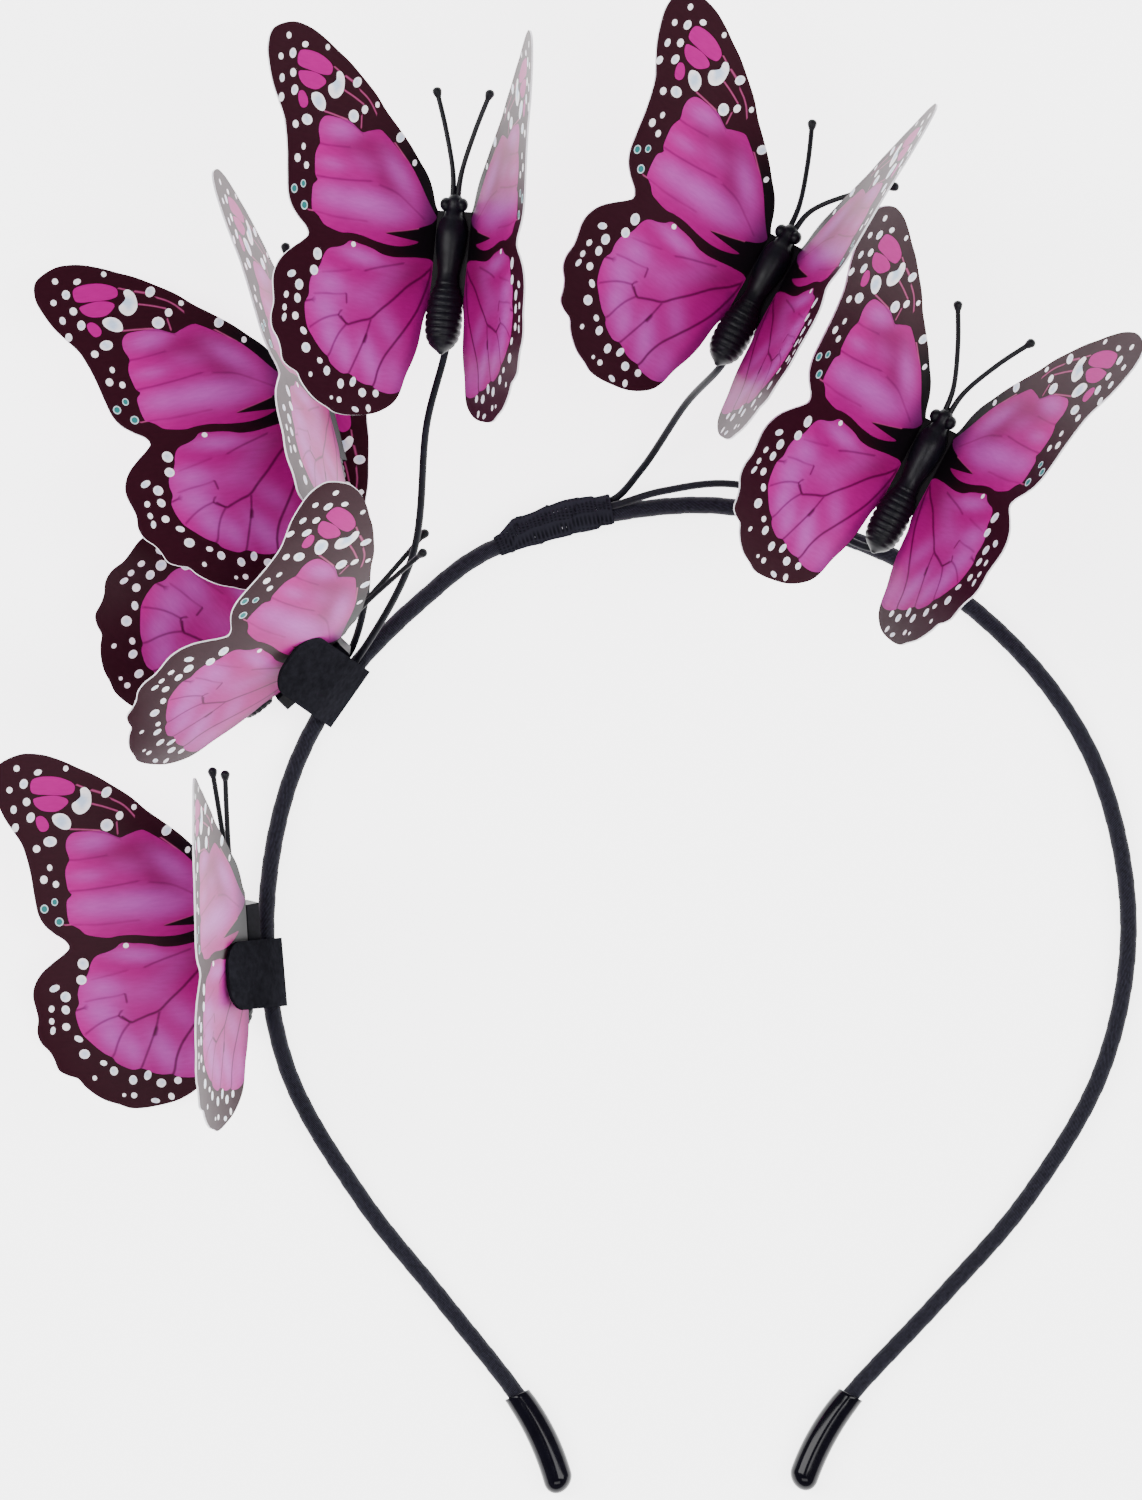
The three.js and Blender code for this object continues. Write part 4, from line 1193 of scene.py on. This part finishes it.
def seat_point(share, angle):
    origin, _, out = band_frame(share)
    reach = BAND_RADIUS + CLEARANCE + STEM_RADIUS
    turn = math.radians(angle)
    return origin + out * (reach * math.cos(turn)) + UP * (reach * math.sin(turn))


def stem_run(entry):
    matrix = MATRICES[entry["butterfly"] - 1]
    low = -WING_SHEET / 2 - CLEARANCE - BASE_DEPTH / 2
    tail = BASE_HEAD_END - BASE_LENGTH - CLEARANCE
    end = matrix @ Vector((0, tail, low))
    approach = matrix @ Vector((0, tail - 5, low))
    taped = entry["source"] == "wrap"
    held = WRAP_LENGTH if taped else PATCH_WIDTH
    middle = WRAP_AT if taped else patch_share(PATCHES[1])

    def seat(step):
        return seat_point(middle + step * held / BAND.length, entry["seat"])

    start = seat(0.55)
    across = end - start
    rise = across.z
    across.z = 0
    right = Vector((across.y, -across.x, 0))
    bends = [start + across * along + right * aside + UP * (rise * share)
             for along, aside, share in entry["bends"]]
    inner = matrix @ Vector((0, tail + 1.0, low))
    return Run(catmull_rom([seat(-0.3), seat(0), seat(0.3), start, *bends, approach, end, inner]))


for entry in STEMS:
    run = stem_run(entry)
    points, faces, places = sweep(run, 160, 16, lambda s, a: STEM_RADIUS)
    name = f"stem_{entry['butterfly']}"
    stem = add_mesh(name + "_wire", points, faces)
    finish_piece(stem, COATED, name)


TAPE_STATIONS = 110
TAPE_SIDES = 72
TAPE_TURNS = 4.0
# The winding's thickness, and how far it bulges over the stems: share of its length, and value
TAPE_WALL = [(0.0, 0.16), (0.02, 0.3), (0.25, 0.42), (0.5, 0.55), (0.86, 0.5), (0.875, 0.24),
             (0.97, 0.3), (1.0, 0.16)]
TAPE_BULGE = [(0.0, 0.1), (0.1, 0.55), (0.19, 1.0), (0.4, 1.02), (0.6, 1.18), (0.78, 1.16),
              (0.87, 1.03), (1.0, 1.0)]


def tape_mesh():
    """The tape's winding: round the band and the two stems that it holds."""
    seats = [entry["seat"] for entry in STEMS if entry["source"] == "wrap"]
    points, places = [], []
    for i in range(TAPE_STATIONS):
        t = i / (TAPE_STATIONS - 1)
        share = WRAP_AT + (t - 0.5) * (WRAP_LENGTH + 1.0) / BAND.length
        origin, _, out = band_frame(share)
        wall = float(np.interp(t, *zip(*TAPE_WALL)))
        bulge = float(np.interp(t, *zip(*TAPE_BULGE)))
        circles = [(0.0, 0.0, BAND_RADIUS + RIBBON_PROUD)]
        for seat in seats:
            p = seat_point(share, seat) - origin
            circles.append((p.dot(out) * bulge, p.z * bulge, STEM_RADIUS))
        reach = []
        for k in range(TAPE_SIDES):
            a = 2 * math.pi * k / TAPE_SIDES
            overlap = 0.12 * ((t * TAPE_TURNS + a / (2 * math.pi)) % 1.0)
            crease = 0.04 * math.sin(5 * a + 14 * t) + 0.03 * math.sin(31 * t + 3 * a)
            held = max(x * math.cos(a) + y * math.sin(a) + r for x, y, r in circles)
            reach.append(held + wall + overlap + crease)
        for k in range(TAPE_SIDES):
            a = 2 * math.pi * k / TAPE_SIDES
            slope = (reach[(k + 1) % TAPE_SIDES] - reach[k - 1]) * TAPE_SIDES / (4 * math.pi)
            x = reach[k] * math.cos(a) - slope * math.sin(a)
            z = reach[k] * math.sin(a) + slope * math.cos(a)
            points.append(origin + out * x + UP * z)
            places.append((t * WRAP_LENGTH, a * 2.6))
    return points, tube_faces(TAPE_STATIONS, TAPE_SIDES), places


points, faces, places = tape_mesh()
tape = add_mesh("tape_winding", points, faces, sharp=60)
add_map(tape, places)
finish_piece(tape, TAPE, "tape_wrap")


# The patches

# How round the corners of a patch's two lips are, its thickness and how finely it is made
LIP_ROUND = (1.5, 4.2)
PATCH_SHEET = 0.55
PATCH_ROWS = 150
PATCH_COLUMNS = 24
HULL_SIDES = 40


def base_corners(matrix):
    top = -WING_SHEET / 2 - CLEARANCE
    return [matrix @ Vector((x, y, z)) for x in (-BASE_WIDTH / 2, BASE_WIDTH / 2)
            for y in (BASE_HEAD_END - BASE_LENGTH, BASE_HEAD_END)
            for z in (top - BASE_DEPTH, top)]


def patch_line(entry):
    """The patch's line across the band, from its left lip round the band to its right lip."""
    row = BUTTERFLIES[entry["butterfly"] - 1]
    matrix = MATRICES[entry["butterfly"] - 1]
    origin, _, out = band_frame(patch_share(entry))
    grow = CLEARANCE + PATCH_WALL / 2

    def flat(point):
        return (point - origin).dot(out), point.z - origin.z

    def lip(side, key):
        plain = dict(lift=row[key]["lift"], bend=0, twist=0)
        return flat(matrix @ wing_point(plain, side, entry[key], 0, 0))

    bow = PATCH_WIDTH ** 2 / (4 * BAND_HALF_WIDTH)
    circles = [((0.0, 0.0), BAND_RADIUS), ((-bow, 0.0), BAND_RADIUS)]
    circles += [(flat(corner), 0.0) for corner in base_corners(matrix)]
    circles += [(lip(-1, "left"), 0.0), (lip(1, "right"), 0.0)]
    dots, owners = [], []
    for number, ((x, y), radius) in enumerate(circles):
        for k in range(HULL_SIDES):
            a = 2 * math.pi * k / HULL_SIDES
            dots.append(((radius + grow) * math.cos(a) + x, (radius + grow) * math.sin(a) + y))
            owners.append(number)
    hull = convex_hull_2d(dots)
    left, right = len(circles) - 2, len(circles) - 1
    count = len(hull)
    for turned in (hull, hull[::-1]):
        who = [owners[k] for k in turned]
        for first in range(count):
            if who[first] == left and who[first - 1] == right:
                order = [turned[(first + k) % count] for k in range(count)]
                who = [owners[k] for k in order]
                start = max(k for k in range(count) if who[k] == left)
                stop = min(k for k in range(count) if who[k] == right)
                return [Vector((*dots[k], 0.0)) for k in order[start:stop + 1]]
    raise ValueError("the patch's lips are not side by side on its outline")


def patch_mesh(entry):
    """A leather patch: a sheet along its line, with the corners of its two lips rounded."""
    origin, along, out = band_frame(patch_share(entry))
    run = Run(patch_line(entry))
    grid = {1: [], -1: []}
    for i in range(PATCH_ROWS):
        s = run.length * (0.5 - 0.5 * math.cos(math.pi * i / (PATCH_ROWS - 1)))
        half = PATCH_WIDTH / 2
        for from_lip, round_off in zip((s, run.length - s), LIP_ROUND):
            inset = max(0.0, round_off - from_lip)
            half = min(half, PATCH_WIDTH / 2 - round_off + math.sqrt(round_off ** 2 - inset ** 2))
        here, way = run.at(s), run.way(s)
        normal = Vector((way.y, -way.x, 0))
        for face in (1, -1):
            spot = here + normal * (face * PATCH_SHEET / 2)
            for k in range(PATCH_COLUMNS + 1):
                across = half * (2 * k / PATCH_COLUMNS - 1)
                grid[face].append(origin + out * spot.x + UP * spot.y + along * across)
    points = [*grid[1], *grid[-1]]
    wide, back = PATCH_COLUMNS + 1, len(grid[1])
    faces = []
    for i in range(PATCH_ROWS - 1):
        for k in range(PATCH_COLUMNS):
            a, b = i * wide + k, (i + 1) * wide + k
            faces += [(a, a + 1, b + 1, b), (back + a, back + b, back + b + 1, back + a + 1)]
        for a in (i * wide, i * wide + PATCH_COLUMNS):
            faces.append((a, a + wide, back + a + wide, back + a))
    last = (PATCH_ROWS - 1) * wide
    for k in range(PATCH_COLUMNS):
        faces += [(k, k + 1, back + k + 1, back + k),
                  (last + k, last + k + 1, back + last + k + 1, back + last + k)]
    return points, faces


for entry in PATCHES:
    points, faces = patch_mesh(entry)
    patch = add_mesh(f"patch_leather_{entry['butterfly']}", points, faces)
    mended = bmesh.new()
    mended.from_mesh(patch.data)
    bmesh.ops.remove_doubles(mended, verts=mended.verts, dist=1e-7)
    bmesh.ops.recalc_face_normals(mended, faces=mended.faces)
    mended.to_mesh(patch.data)
    mended.free()
    add_bevel(patch, 0.18, 50)
    finish_piece(patch, LEATHER, f"patch_{entry['butterfly']}")


# The clip blocks stay as they are in the CAD model, with softened edges
for index in range(1, 7):
    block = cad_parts[f"base_{index}"]
    block.data.materials.clear()
    block.data.materials.append(MOULDED)
    add_bevel(block, 0.3, 35)
